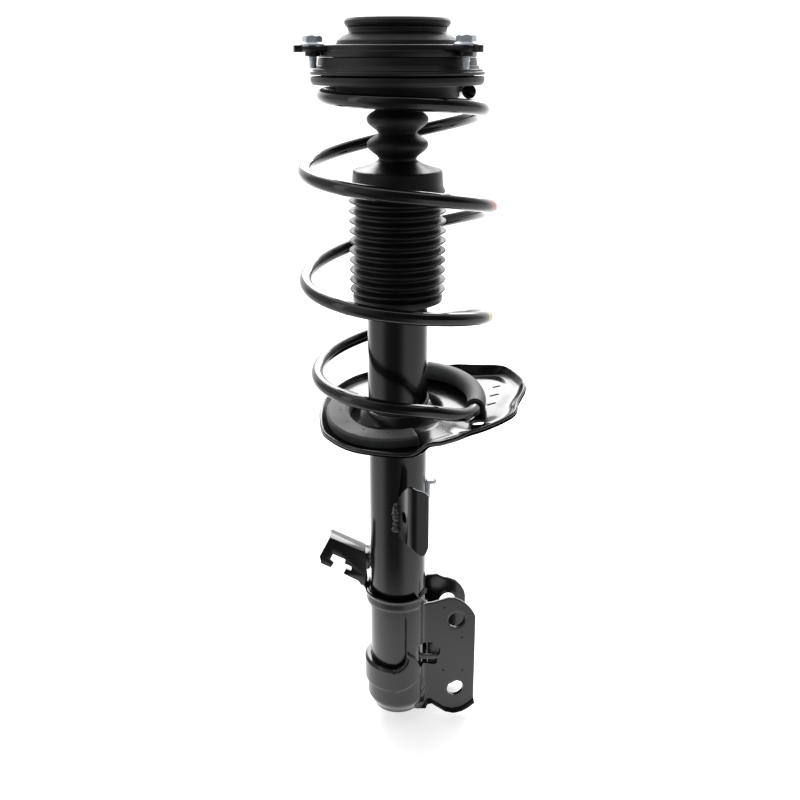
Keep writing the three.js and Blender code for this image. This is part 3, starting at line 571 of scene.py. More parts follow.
def foldedSheet(line, spacing, lowEdge, highEdge, thickness, rows, bulge=None, edge=0.7):
    # Sheet metal on edge: its outer face follows the line in plan, between two edge heights.
    # point = line - normal * (depth - bulge), height = lowEdge + share * (highEdge - lowEdge)
    total = resampled(line, [0])[1]
    middle = np.arange(edge * 2, total - edge * 2, spacing)
    ends = np.array([0, 0, edge * 0.3, edge])
    steps = np.concatenate([ends, middle, total - ends[::-1]])
    place = resampled(line, steps)[0]
    ahead, back = (resampled(line, np.clip(steps + shift, 0, total))[0] for shift in (0.2, -0.2))
    around = unit(ahead - back)
    normal = np.stack([around[:, 1], -around[:, 0]], 1)
    share = np.linspace(0, 1, rows)
    turn = np.linspace(0, math.pi / 2, 4)[1:]
    corner, drop = edge * (1 - np.cos(turn)), edge * np.sin(turn)
    halfRound = np.concatenate([corner, thickness - corner[::-1]])
    depth = np.concatenate([0 * share, halfRound, thickness + 0 * share, halfRound[::-1]])
    level = np.concatenate([share, 1 + 0 * turn, 1 + 0 * turn, share[::-1], 0 * turn, 0 * turn])
    extra = np.concatenate([0 * share, drop, drop[::-1], 0 * share, -drop, -drop[::-1]])
    low, high = lowEdge(steps, place)[:, None] + edge, highEdge(steps, place)[:, None] - edge
    height = low + (high - low) * level + extra
    slim = np.ones(len(steps))
    slim[[0, -1]] = 0
    slim[[1, -2]] = 1 - 2 * edge / thickness
    slim[[2, -3]] = 1 - 0.6 * edge / thickness
    depth = thickness / 2 + (depth - thickness / 2) * slim[:, None]
    if bulge:
        depth = depth - bulge(steps[:, None], height, low - edge, high + edge)
    flat = place[:, None] - normal[:, None] * depth[..., None]
    return np.concatenate([flat, height[..., None]], -1), gridFaces(len(steps), len(level))


def cutOut(piece, parts, sharp=36):
    # takes closed shells away from a piece
    cutter = addObject("cutter", shellMesh("cutter", *joined(*parts)))
    boolean = piece.modifiers.new("cut", "BOOLEAN")
    boolean.operation = "DIFFERENCE"
    boolean.solver = "EXACT"
    boolean.object = cutter
    graph = bpy.context.evaluated_depsgraph_get()
    mesh = bpy.data.meshes.new_from_object(piece.evaluated_get(graph))
    piece.modifiers.clear()
    piece.data = mesh
    smoothFaces(mesh, sharp)
    bpy.data.objects.remove(cutter)


def circle(middle, radius, count=32):
    # middle + radius * (cos a, sin a)
    angle = fullTurn(count)
    return radius * np.stack([np.cos(angle), np.sin(angle)], 1) + middle


def slotOutline(middle, size, turn):
    # a slot with round ends
    half, end = size[0] / 2 - size[1] / 2, size[1] / 2
    right = circle((half, 0), end, 24)
    right = right[right[:, 0] >= half - 1e-6]
    right = right[np.argsort(right[:, 1])]
    return spun(np.concatenate([right, -right]), turn) + middle


def hexagonPart(across, low, high, chamfer=0.8, bore=None, facets=96):
    # r = half width / cos(angle to the nearest flat), cut back to a cone at both faces
    angle = fullTurn(facets)
    flatTo = (angle + math.pi / 6) % (math.pi / 3) - math.pi / 6
    hexed = across / 2 / np.cos(flatTo)
    rise = chamfer * np.array([0, 0, 0.6, 1])
    height = np.concatenate([low + rise, high - rise[::-1]])
    inset = np.array([-9, -0.25, 0.55, 2])
    limit = across / 2 + np.concatenate([inset, inset[::-1]])
    radius = np.minimum(hexed[None], limit[:, None])
    radius[[0, -1]] = bore or 0
    return polar(radius, angle, height[:, None]), gridFaces(len(height), facets, closedRows=bool(bore))


def threadPart(low, high, radius, pitch, depth, point=1, lowPoint=1, facets=40):
    # r = radius - depth * saw(height / pitch - angle share), tapered to a point at the ends
    angle = np.linspace(0, 1, facets, endpoint=False)
    height = np.concatenate([[low], np.arange(low, high, pitch / 6), [high, high]])
    wave = np.abs(2 * ((height[:, None] / pitch - angle) % 1) - 1)
    upper, lower = smoothstep(height, high + 1, high - point), smoothstep(height, low - 1, low + lowPoint)
    taper = np.minimum(upper, lower)
    radius = (radius - depth * wave) * (0.7 + 0.3 * taper[:, None])
    radius[[0, -1]] = 0
    return polar(radius, angle * 2 * math.pi, height[:, None]), gridFaces(len(height), facets)


# Damper

damper = {
    "wall": 2, "footRound": 2.2, "dish": 14, "dishRise": 1.6, "rodRadius": 10, "rodNose": 6, "rodStep": 26.3,
}
bore = tubeRadius - damper["wall"]
turned(
    "damper_tube_skin",
    [[bore, 0, 0.3], [tubeRadius, 0, damper["footRound"]], [tubeRadius, tubeTop, 0.6], [bore, tubeTop, 0.3]],
    "black_paint", "lower_strut", "damper_tube", facets=160,
)
footTop = topOf("tube_end_cap")
turned(
    "tube_end_dish",
    [
        [0, damper["dishRise"], 0], [damper["dish"], damper["dishRise"], 3], [damper["dish"] + 4, 0.2, 2],
        [bore - 0.3, 0.2, 0.8], [bore - 0.3, footTop, 0.4], [0, footTop, 0],
    ],
    "black_paint", "lower_strut", "tube_end_cap",
)
tubeCap = {"wall": 1.6, "skirt": -14, "bore": 12, "clear": 0.3, "top": topOf("tube_top_cap") - tubeTop}
capInner = tubeRadius + tubeCap["clear"]
capOuter = capInner + tubeCap["wall"]
turned(
    "tube_top_cap_skin",
    [
        [capInner, tubeCap["skirt"], 0.3], [capOuter, tubeCap["skirt"], 0.6],
        [capOuter, tubeCap["top"], 1.4], [tubeCap["bore"], tubeCap["top"], 0.4],
        [tubeCap["bore"], tubeCap["clear"], 0.3], [capInner, tubeCap["clear"], 0.4],
    ],
    "black_paint", "lower_strut", "tube_top_cap", tubeTop,
)
rodLow, rodHigh = footOf("piston_rod"), topOf("piston_rod")
rodShoulder = seatTop + 6.6
shaft = turnedPart(
    [
        [0, 0, 0], [damper["rodNose"], 0, 0.6], [damper["rodNose"], damper["rodStep"], 0.2],
        [damper["rodRadius"], damper["rodStep"], 0.5], [damper["rodRadius"], rodShoulder - rodLow, 0.5],
        [0, rodShoulder - rodLow, 0],
    ],
    rodLow, 64,
)
rodThread = threadPart(rodShoulder - 0.5, rodHigh, 7, 1.5, 0.75, lowPoint=0)
makePiece("piston_rod_skin", *joined(shaft, rodThread), "chromed_rod", "top_mount", "piston_rod")
print("damper done")

# Bump stop and dust boot, their heights counted from the upper seat

bumper = {
    "neck": 15.2, "bulge": 24.5, "bulges": [-32.1, -51.6], "halfHeight": 9.75, "stretchBelow": 0.86,
    "top": -20.1, "bottom": -72.1, "bore": 10.35, "squashed": 0.38,
}


def squashed(piece):
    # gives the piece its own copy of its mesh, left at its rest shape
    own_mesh(piece)


def bumperOutline():
    # r = neck + (bulge - neck) * w (1.4 - 0.4 w), w = 0.5 + 0.5 cos(pi * distance / half height)
    height = np.linspace(bumper["bottom"], bumper["top"], 140)
    neck, gained = bumper["neck"], bumper["bulge"] - bumper["neck"]
    radius = np.full(len(height), neck)
    for middle in bumper["bulges"]:
        above = height - middle
        away = np.where(above > 0, above, -above * bumper["stretchBelow"]) / bumper["halfHeight"]
        wave = 0.5 + 0.5 * np.cos(math.pi * np.clip(away, 0, 1))
        radius = np.maximum(radius, neck + gained * wave * (1.4 - 0.4 * wave))
    radius -= 1.2 * smoothstep(height, bumper["bottom"] + 2, bumper["bottom"])
    inner = [[bumper["bore"], bumper["top"]], [bumper["bore"], bumper["bottom"]]]
    return np.concatenate([np.stack([radius, height], 1), inner]) + [0, seatTop]


bumpStop = makePiece(
    "bump_stop_foam", *turnedGrid(bumperOutline(), 120), "foam_rubber", "upper_seat", "bump_stop",
)
squashed(bumpStop)

boot = {
    "bore": 15.5, "neck": 17, "top": -64.1, "shoulder": 36.2, "shoulderTop": -71.9, "cuffLow": -84.5,
    "flare": 38.9,
    "ribTop": -92.1, "ribLow": -173.1, "ribs": 10, "root": 34.3, "crest": 39.8, "wall": 2.2, "hem": 37.4,
    "hemLow": -179.1,
}


def bootOutline():
    # ribs: r = root + (crest - root) * (0.5 - 0.5 cos(pitches * 2 pi))^1.5, a hollow cone above, a hem below
    neck, top, shoulder, shoulderTop = boot["neck"], boot["top"], boot["shoulder"], boot["shoulderTop"]
    root, ribTop, ribLow, inner = boot["root"], boot["ribTop"], boot["ribLow"], boot["root"] - boot["wall"]
    share = np.linspace(0, 1, boot["ribs"] * 18 + 1)
    wave = (0.5 - 0.5 * np.cos(share * boot["ribs"] * 2 * math.pi)) ** 1.5
    ribs = np.stack([root + (boot["crest"] - root) * wave, ribTop + (ribLow - ribTop) * share], 1)
    crown = rounded([
        [boot["bore"], top, 0], [neck - 0.4, top, 0.4], [neck + 0.6, top - 1.1, 1.2],
        [neck + 4.6, top - 3.2, 8], [neck + 10.6, top - 5.4, 16], [shoulder - 1, shoulderTop + 0.5, 0.6],
        [shoulder, shoulderTop - 0.7, 0.8], [shoulder + 0.7, boot["cuffLow"], 6],
        [boot["flare"], boot["cuffLow"] - 4, 0.4], [boot["flare"] - 1.4, ribTop + 1.9, 0.7],
        [root + 0.3, ribTop + 0.5, 0],
    ])[:-1]
    hem = rounded([
        [root + 0.2, ribLow - 0.3, 0], [boot["hem"], ribLow - 1, 0.7], [boot["hem"], boot["hemLow"], 0.8],
        [inner, boot["hemLow"], 0.5],
    ])[1:]
    # under the crown the wall follows it, thin enough to pass over the tube's cap
    underside = [
        [inner, ribTop + 2], [shoulder - 2.6, shoulderTop - 6], [shoulder - 3.2, shoulderTop - 2.2],
        [neck + 10.6, top - 7.8], [neck + 4.6, top - 5.7], [neck + 0.6, top - 3.9], [boot["bore"], top - 3],
    ]
    return np.concatenate([crown, ribs, hem, ribs[::-1] - [boot["wall"], 0], underside]) + [0, seatTop]


dustBoot = makePiece(
    "dust_boot_bellows", *turnedGrid(bootOutline(), 144), "boot_rubber", "upper_seat", "dust_boot",
)
squashed(dustBoot)
print("boot and bump stop done")

# Upper seat, its heights counted from its own top

upperSeat = {
    "radius": 67.5, "lip": -6, "under": -3, "bore": 28.5, "grooveIn": 41, "grooveOut": 57, "groove": -1.8,
    "ledge": 60.5, "ledgeTop": -0.5,
}
seatRim, grooveIn, grooveOut = upperSeat["radius"], upperSeat["grooveIn"], upperSeat["grooveOut"]
turned(
    "upper_seat_pan",
    [
        [upperSeat["bore"], upperSeat["under"], 0.3], [seatRim - 4.2, upperSeat["under"], 0.6],
        [seatRim - 4, upperSeat["lip"], 0.5], [seatRim - 1.4, upperSeat["lip"], 1.3], [seatRim, -3.4, 1.2],
        [seatRim, 0, 0.5], [upperSeat["ledge"], 0, 0.2], [upperSeat["ledge"], upperSeat["ledgeTop"], 0.2],
        [grooveOut, upperSeat["ledgeTop"], 0.2], [grooveOut, upperSeat["groove"], 0.6],
        [grooveIn, upperSeat["groove"], 0.6], [grooveIn, 0, 0.2], [upperSeat["bore"], 0, 0.3],
    ],
    "black_plastic", "upper_seat", "upper_spring_seat", seatTop, 160, slot="black_paint",
)
cushion = {"radius": 62, "hub": 48.4, "hubLow": -17, "under": -5.7, "top": -3.3, "bore": 27.8}
hubRadius, hubLow = cushion["hub"], cushion["hubLow"]
turned(
    "upper_seat_cushion",
    [
        [cushion["bore"], hubLow, 0.4], [hubRadius - 1.6, hubLow, 0.8], [hubRadius, hubLow + 2.2, 1],
        [hubRadius - 0.2, cushion["under"], 2.4], [cushion["radius"], cushion["under"], 0.9],
        [cushion["radius"], cushion["top"], 0.4], [cushion["bore"], cushion["top"], 0.3],
    ],
    "black_rubber", "upper_seat", "upper_insulator", seatTop, 144,
)
holder = {"radius": 27.5, "depth": -12, "wall": 1.5, "bore": 12}
turned(
    "bump_stop_holder",
    [
        [holder["radius"] - holder["wall"], holder["depth"], 0.4], [holder["radius"], holder["depth"], 0.6],
        [holder["radius"], 0, 0.8], [holder["bore"], 0, 0.3], [holder["bore"], -holder["wall"], 0.3],
        [holder["radius"] - holder["wall"], -holder["wall"], 1],
    ],
    "black_paint", "upper_seat", "bump_stop_cup", seatTop + cushion["top"],
)
print("upper seat done")

# Top mount, its heights counted from the upper seat

cover = {
    "rim": 67.7, "low": 1.5, "rimTop": 5.5, "band": 61.6, "top": 13.9, "bore": 33, "socket": 58.2,
    "socketLow": 7.5,
}
coverRim, coverLow, band, socket = cover["rim"], cover["low"], cover["band"], cover["socket"]
turned(
    "bearing_cover_shell",
    [
        [cover["bore"], coverLow, 0.3], [grooveIn, coverLow, 0.2], [grooveIn, coverLow + 1.8, 0.4],
        [grooveOut, coverLow + 1.8, 0.4], [grooveOut, coverLow, 0.2], [coverRim - 0.4, coverLow, 0.4],
        [coverRim, coverLow + 1, 0.4], [coverRim, 3.6, 0.5], [coverRim - 1.7, 3.9, 0.3],
        [coverRim - 1.9, 4.7, 0.3], [coverRim - 2.1, cover["rimTop"], 0.5],
        [band + 2.2, cover["rimTop"] + 0.3, 0.4], [band + 1.1, 8, 0.4], [band + 0.3, 8.2, 0.2],
        [band - 0.6, cover["top"], 0.5], [socket, cover["top"], 0.3], [socket, cover["socketLow"], 0.5],
        [cover["bore"], cover["socketLow"], 0.3],
    ],
    "black_plastic", "top_mount", "bearing_upper_cover", seatTop, 160,
)
turned(
    "bearing_lip_seal",
    [[58, 0.3, 0.2], [59.8, 0.3, 0.3], [59.2, 1.2, 0.2], [58, 1.2, 0.2]],
    "black_rubber", "top_mount", "bearing_seal", seatTop,
)

mount = {
    "radius": 61, "top": 23.1, "sheet": 3.5, "skirt": 14.2, "skirtWall": 2.5, "bore": 30, "clamp": 48.5,
    "clampDip": 0.3,
    "earAngles": [-54.4, 65.6, -174.4], "earDrop": 1, "earSheet": 3, "boltCircle": 67,
}
plateTop, skirtIn = mount["top"], mount["radius"] - mount["skirtWall"]
plate = turnedPart(
    [
        [mount["bore"], plateTop - mount["sheet"], 0.4], [skirtIn, plateTop - mount["sheet"], 1],
        [skirtIn, mount["skirt"], 0.5], [mount["radius"], mount["skirt"], 0.7],
        [mount["radius"] + 0.2, plateTop - 4.6, 0.5], [mount["radius"] - 0.4, plateTop - 4.2, 0.4],
        [mount["radius"] - 0.5, plateTop, 1.6], [mount["clamp"], plateTop, 0.15],
        [mount["clamp"], plateTop - mount["clampDip"], 0.1],
        [mount["bore"], plateTop - mount["clampDip"], 0.4],
    ],
    seatTop, 160,
)
earTop = seatTop + mount["top"] - mount["earDrop"]


def toEar(points, angle, turn=0):
    # from the bolt's own axis out to its ear
    return spun(spun(points, turn) + [mount["boltCircle"], 0, 0], angle)


def earPart(angle):
    # a lug round the bolt, with a small upturned tab at its tip and a boss under it
    tip = np.radians(np.linspace(-70, 70, 15))
    arc = np.stack([mount["boltCircle"] + 10 * np.cos(tip), 10 * np.sin(tip)], 1)
    lug = slab(np.concatenate([[[57, -15]], arc, [[57, 15]]]), earTop - mount["earSheet"], earTop, 0.7)
    tabOutline = rounded([[75, -2.6, 0.4], [81.2, -2.6, 0.6], [81.2, 2.6, 0.6], [75, 2.6, 0.4]])
    tab = slab(tabOutline, earTop - 4.4, earTop + 0.6, 0.5)
    boss = turnedPart([[0, -4.2, 0], [7.4, -4.2, 0.6], [8.4, -2.6, 0.4], [0, -2.6, 0]], earTop, 40)
    return [movedPart(lug, spun, angle), movedPart(tab, spun, angle), movedPart(boss, toEar, angle)]


ears = [part for angle in mount["earAngles"] for part in earPart(angle)]
makePiece("mount_plate_pressing", *joined(plate, *ears), "satin_paint", "top_mount", "mount_plate")

sleeve = {
    "radius": 16.4, "low": 6.9, "top": 27.9, "flange": 20, "flangeSheet": 2.5, "bore": 7.3, "clear": 0.3,
}
flangeUnder = sleeve["top"] - sleeve["flangeSheet"]
sleeveHole, flangeHole = sleeve["radius"] + sleeve["clear"], sleeve["flange"] + sleeve["clear"]
isolator = {"low": 8.4, "radius": 50, "plateUnder": 19.3, "plateTop": 23.1, "neck": 29.7, "top": 35.9}
turned(
    "mount_rubber_body",
    [
        [sleeveHole, isolator["low"], 0.5], [isolator["radius"], isolator["low"], 2],
        [isolator["radius"], isolator["plateUnder"], 1], [isolator["neck"], isolator["plateUnder"], 0.5],
        [isolator["neck"], isolator["plateTop"], 0.5], [47.5, isolator["plateTop"], 0.3], [47.2, 24.2, 0.6],
        [46.4, 26.3, 1.6], [42.8, 29.2, 1.2], [41.6, 30.1, 0.9], [37.7, 31.9, 1.5], [37.6, 33.2, 1.2],
        [38.6, isolator["top"], 0.3], [flangeHole, isolator["top"], 0.5],
        [flangeHole, flangeUnder - sleeve["clear"], 0.5], [sleeveHole, flangeUnder - sleeve["clear"], 0.5],
    ],
    "black_rubber", "top_mount", "mount_rubber", seatTop, 160,
)
cap = {"radius": 40.7, "top": 42.5, "low": 36.2, "bore": 18, "floor": 2, "step": 0.9}
capRadius, capLow, capTop = cap["radius"], cap["low"], cap["top"]
turned(
    "mount_cap_rubber",
    [
        [flangeHole, capLow, 0.4], [capRadius - 1.5, capLow, 1.2], [capRadius, capLow + 2.2, 1.2],
        [capRadius, capTop - 2.2, 0.9], [capRadius - 1.8, capTop, 1.4], [31, capTop, 0.5],
        [30, capTop - cap["step"], 0.5], [27, capTop - cap["step"], 0.5], [26, capTop, 0.5],
        [cap["bore"], capTop, 1.6], [cap["bore"], capLow + cap["floor"], 0.6],
        [flangeHole, capLow + cap["floor"], 0.4],
    ],
    "black_rubber", "top_mount", "mount_cap", seatTop, 160,
)
turned(
    "mount_inner_sleeve",
    [
        [sleeve["bore"], sleeve["low"], 0.5], [sleeve["radius"], sleeve["low"], 0.6],
        [sleeve["radius"], flangeUnder, 0.6], [sleeve["flange"], flangeUnder, 0.6],
        [sleeve["flange"], sleeve["top"], 0.8], [sleeve["bore"], sleeve["top"], 0.5],
    ],
    "bare_steel", "top_mount", "mount_sleeve", seatTop,
)
washer = {"bore": 7.3, "radius": 14.5, "sheet": 2.5, "nutAcross": 21, "nutHeight": 8, "nutBore": 7.25}
washerLow = seatTop + sleeve["top"] + 0.3
nutLow = washerLow + washer["sheet"] + 0.3
turned(
    "rod_washer_ring",
    [
        [washer["bore"], 0, 0.3], [washer["radius"], 0, 0.5], [washer["radius"], washer["sheet"], 0.6],
        [washer["bore"], washer["sheet"], 0.3],
    ],
    "zinc_plate", "top_mount", "rod_washer", washerLow,
)
rodNut = hexagonPart(washer["nutAcross"], nutLow, nutLow + washer["nutHeight"], 1.2, bore=washer["nutBore"])
makePiece("rod_lock_nut", *joined(rodNut), "zinc_plate", "top_mount", "rod_nut")

bolt = {
    "across": 13, "head": 4.6, "flange": 9.2, "flangeHeight": 2.6, "thread": 3.35, "pitch": 1.25, "tip": 6.1,
    "nose": 2.7,
    "turn": 12,
}
nut = {"bore": 3.8, "radius": 5.7, "height": 4, "gap": 0.3}
boltSeat = earTop + 0.3
nutTop = earTop - mount["earSheet"] - nut["gap"]


def boltPart():
    # chamfered hexagon head, sloping flange, threaded shank and a plain dog point
    neck = boltSeat + bolt["flangeHeight"]
    tip = seatTop + bolt["tip"]
    head = hexagonPart(bolt["across"], neck - 0.6, neck + bolt["head"], 0.9)
    flange = turnedPart(
        [
            [0, 0, 0], [bolt["flange"], 0, 0.4], [bolt["flange"], 1.1, 0.5],
            [bolt["across"] / 2 + 0.5, bolt["flangeHeight"], 0.8], [0, bolt["flangeHeight"], 0],
        ],
        boltSeat, 64,
    )
    thread = threadPart(tip + 4.4, boltSeat + 0.5, bolt["thread"], bolt["pitch"], 0.62, point=0, lowPoint=0.6)
    nose = turnedPart([[0, 0, 0], [bolt["nose"], 0, 0.8], [bolt["nose"], 4.6, 0.3], [0, 4.6, 0]], tip, 40)
    return head, flange, thread, nose


nutPart = turnedPart(
    [
        [nut["bore"], -nut["height"], 0.3], [nut["radius"], -nut["height"], 0.7], [nut["radius"], 0, 0.3],
        [nut["bore"], 0, 0.3],
    ],
    nutTop, 40,
)
for number, angle in enumerate(mount["earAngles"], 1):
    parts = [movedPart(part, toEar, angle, bolt["turn"]) for part in boltPart()]
    makePiece(f"flange_bolt_{number}", *joined(*parts), "zinc_plate", "top_mount", f"mount_bolt_{number}")
    placed = joined(movedPart(nutPart, toEar, angle, bolt["turn"]))
    node = f"weld_nut_{number}"
    makePiece(f"clinch_nut_{number}", *placed, "satin_paint", "top_mount", node, slot="bare_steel")
print("top mount done")

# Coil spring

coil = {
    "wire": 5.5, "start": -12.4, "turns": 4.31, "topRadius": 56, "gained": 12.5, "tilt": 6.9,
    "tiltTowards": -47.9,
    "tiltFade": [0.5, 1.25, 3.25, 4], "landing": [3.8, 4.02], "chamfer": 1, "facets": 36,
    "sleeveWall": 2, "sleeveFrom": 95 / 24, "sleeveTo": 102.6 / 24, "squashTo": 290, "squashed": 0.597,
}
# turn, radius gained, share of the way down
coilStations = np.array([
    [0, 0, 0], [0.5, 2, 0.009], [0.75, 6.5, 0.025], [1, 11.5, 0.074], [1.5, 18.5, 0.207], [3, 19.5, 0.732],
    [3.5, 13, 0.885], [3.75, 12.5, 0.939], [4, 12.5, 1], [4.25, 12, 1], [4.4, 8.5, 1],
])
perch = {"rise": 8.2, "towards": 44, "floor": 287.5}
sleeveBore = coil["wire"] / math.cos(math.pi / 10) + 0.3
seatedLift = (sleeveBore + coil["sleeveWall"] + 0.3) / math.cos(math.radians(perch["rise"]))
coilTop = topOf("coil_spring") - coil["wire"]


def perchHeight(x, y):
    # the tilted floor of the lower seat: floor + tan(rise) * distance along its uphill way
    uphill = heading(perch["towards"])
    return perch["floor"] + math.tan(math.radians(perch["rise"])) * (x * uphill[0] + y * uphill[1])


def between(stations, place, column):
    # piecewise cubic through the stations, each slope taken from the two neighbours
    at, value = stations[:, 0], stations[:, column]
    low, high = np.maximum(np.arange(len(at)) - 1, 0), np.minimum(np.arange(len(at)) + 1, len(at) - 1)
    slope = (value[high] - value[low]) / (at[high] - at[low])
    i = np.clip(np.searchsorted(at, place) - 1, 0, len(at) - 2)
    span = at[i + 1] - at[i]
    t = (place - at[i]) / span
    return (
        (2 * t**3 - 3 * t**2 + 1) * value[i] + (t**3 - 2 * t**2 + t) * span * slope[i]
        + (3 * t**2 - 2 * t**3) * value[i + 1] + (t**3 - t**2) * span * slope[i + 1]
    )


def coilLine(turn):
    # radius and height by turn; the free coils lean, and the last part lies on the lower seat
    angle = np.radians(coil["start"] + turn * 360)
    radius = coil["topRadius"] + between(coilStations, turn, 1)
    x, y = radius * np.cos(angle), radius * np.sin(angle)
    fade = coil["tiltFade"]
    lean = smoothstep(turn, fade[0], fade[1]) * (1 - smoothstep(turn, fade[2], fade[3]))
    seated = (coil["topRadius"] + coil["gained"]) * heading(coil["start"])
    low = perchHeight(*seated[:2]) + seatedLift
    free = coilTop + (low - coilTop) * between(coilStations, turn, 2)
    free = free + coil["tilt"] * lean * np.cos(angle - math.radians(coil["tiltTowards"]))
    landed = smoothstep(turn, *coil["landing"])
    return np.stack([x, y, free + (perchHeight(x, y) + seatedLift - free) * landed], 1)


def wireFrame(turn):
    # outward and upward directions square to the wire: out = (x, y, 0) less its part along the wire
    line = coilLine(turn)
    along = unit(coilLine(turn + 1e-3) - coilLine(turn - 1e-3))
    out = line * [1, 1, 0]
    out = unit(out - along * np.sum(out * along, 1, keepdims=True))
    return line, out, np.cross(along, out)


def alongCoil(turn, radius, closed=False):
    # a round section carried along the coil: point = line + radius * (cos a * out + sin a * up)
    line, out, up = wireFrame(turn)
    return sweep(line, radius[:, None, None] * circle((0, 0), 1, coil["facets"]), out, up, closed)


def wirePiece():
    # the wire, its two cut ends chamfered; the map's u is the turn and its v the way round the wire
    last = coil["turns"] - 0.0016
    turn = np.concatenate([[0, 0.0006], np.linspace(0.0014, last - 0.0014, 330), [last - 0.0006, last]])
    radius = np.full(len(turn), coil["wire"])
    radius[[0, -1]] -= coil["chamfer"]
    radius[[1, -2]] -= 0.35 * coil["chamfer"]
    around = np.linspace(0, 1, coil["facets"] + 1)
    rows = np.concatenate([turn[:1], turn, turn[-1:]])
    row, column = np.meshgrid(np.arange(len(rows) - 1), np.arange(coil["facets"]), indexing="ij")
    corners = [(row, column), (row, column + 1), (row + 1, column + 1), (row + 1, column)]
    wrap = np.stack([np.stack([rows[r], around[c]], -1) for r, c in corners], 2).reshape(-1, 2)
    shell = alongCoil(turn, radius)
    return makePiece("coil_wire", *shell, "spring", "lower_strut", "coil_spring", wrap=wrap, sharp=40)


squashed(wirePiece())


def sleevePiece():
    # rubber hose over the seated end: an outer and an inner wall, its mouths rounded
    turn = np.linspace(coil["sleeveFrom"], coil["sleeveTo"], 40)
    turn = np.concatenate([[turn[0]] * 2, turn, [turn[-1]] * 2])
    outer = np.full(len(turn), sleeveBore + coil["sleeveWall"])
    outer[[0, -1]] -= 1.2
    outer[[1, -2]] -= 0.4
    inner = np.full(len(turn), coil["wire"] + 0.1)
    shell = alongCoil(np.concatenate([turn, turn[::-1]]), np.concatenate([outer, inner]), closed=True)
    makePiece("wire_end_hose", *shell, "grey_rubber", "lower_strut", "coil_end_sleeve")


sleevePiece()
print("spring done")

# Lower spring seat

# Plan outline of the pan: round, with a wing over the knuckle side.
panOutline = np.array([
    [-68, -8], [-64, -30], [-46, -57], [-8, -78], [12, -68], [34, -63.5], [62, -58.5], [90, -45], [101, -26],
    [115, -4], [119, 14], [112, 38], [90, 48], [61, 62], [24, 79], [-18, 78], [-47, 57], [-63, 27],
])
pan = {
    "sheet": 2.6, "rim": 5.6, "roll": 1.8, "lip": 1.6,
    # angle, half width and height gained of the rim's changes, in degrees and millimetres
    "rimChanges": [(32, 22, 3.4), (-66, 16, -2.2)],
    # angle, half width, height, then where it starts and is full, out from the tube and in from the rim
    "presses": [(5, 62, 1.4, 60, 72, 9, 20), (-40, 16, -1.3, 52, 66, 8, 16)],
    # middle, size and turn of the slots in the wing
    "slots": [
        ((95, 13.7), (8, 2.4), 8), ((88, -1.2), (9.5, 2.4), 8), ((80.5, -16), (9.5, 2.4), 10),
        ((61, -40), (11, 6.5), -8),
    ],
}
# over the hub [distance from the tube's axis, height]
panHub = [[25.3, 11.5], [27, 11.3], [28.5, 10.6], [30.5, 8.9], [34, 4.4], [37, 1.7], [40, 0.35], [43, 0]]
# at the edge [distance in from the rim, share of the rim's height]
panEdge = [
    [13, 0], [10, 0.02], [8, 0.09], [6, 0.22], [4.4, 0.4], [3, 0.63], [2, 0.83], [1.2, 0.96], [0.5, 1.02],
    [0, 1],
]


def closedCurve(points, steps):
    # a smooth closed curve through points: Catmull-Rom, half the difference of the neighbours as slope
    t = np.linspace(0, len(points), steps, endpoint=False)
    i = t.astype(int)
    f = (t - i)[:, None]
    a, b, c, d = (points[(i + k) % len(points)] for k in (-1, 0, 1, 2))
    return 0.5 * (2 * b + (c - a) * f + (2 * a - 5 * b + 4 * c - d) * f**2 + (3 * b - a - 3 * c + d) * f**3)


def onPerch(points):
    # lays a shape drawn flat onto the tilted seat floor
    rise = math.radians(perch["rise"])
    uphill, level = heading(perch["towards"]), heading(perch["towards"] + 90)
    along, height = points @ uphill, points[..., 2]
    out = np.cos(rise) * along - np.sin(rise) * height
    up = np.sin(rise) * along + np.cos(rise) * height + perch["floor"]
    return out[..., None] * uphill + (points @ level)[..., None] * level + up[..., None] * [0, 0, 1]


def bulgeAt(angle, middle, half):
    # 1 at the middle angle, 0 beyond the half width, in degrees
    away = np.abs((angle - middle + 180) % 360 - 180)
    return smoothstep(away, half, half * 0.25)


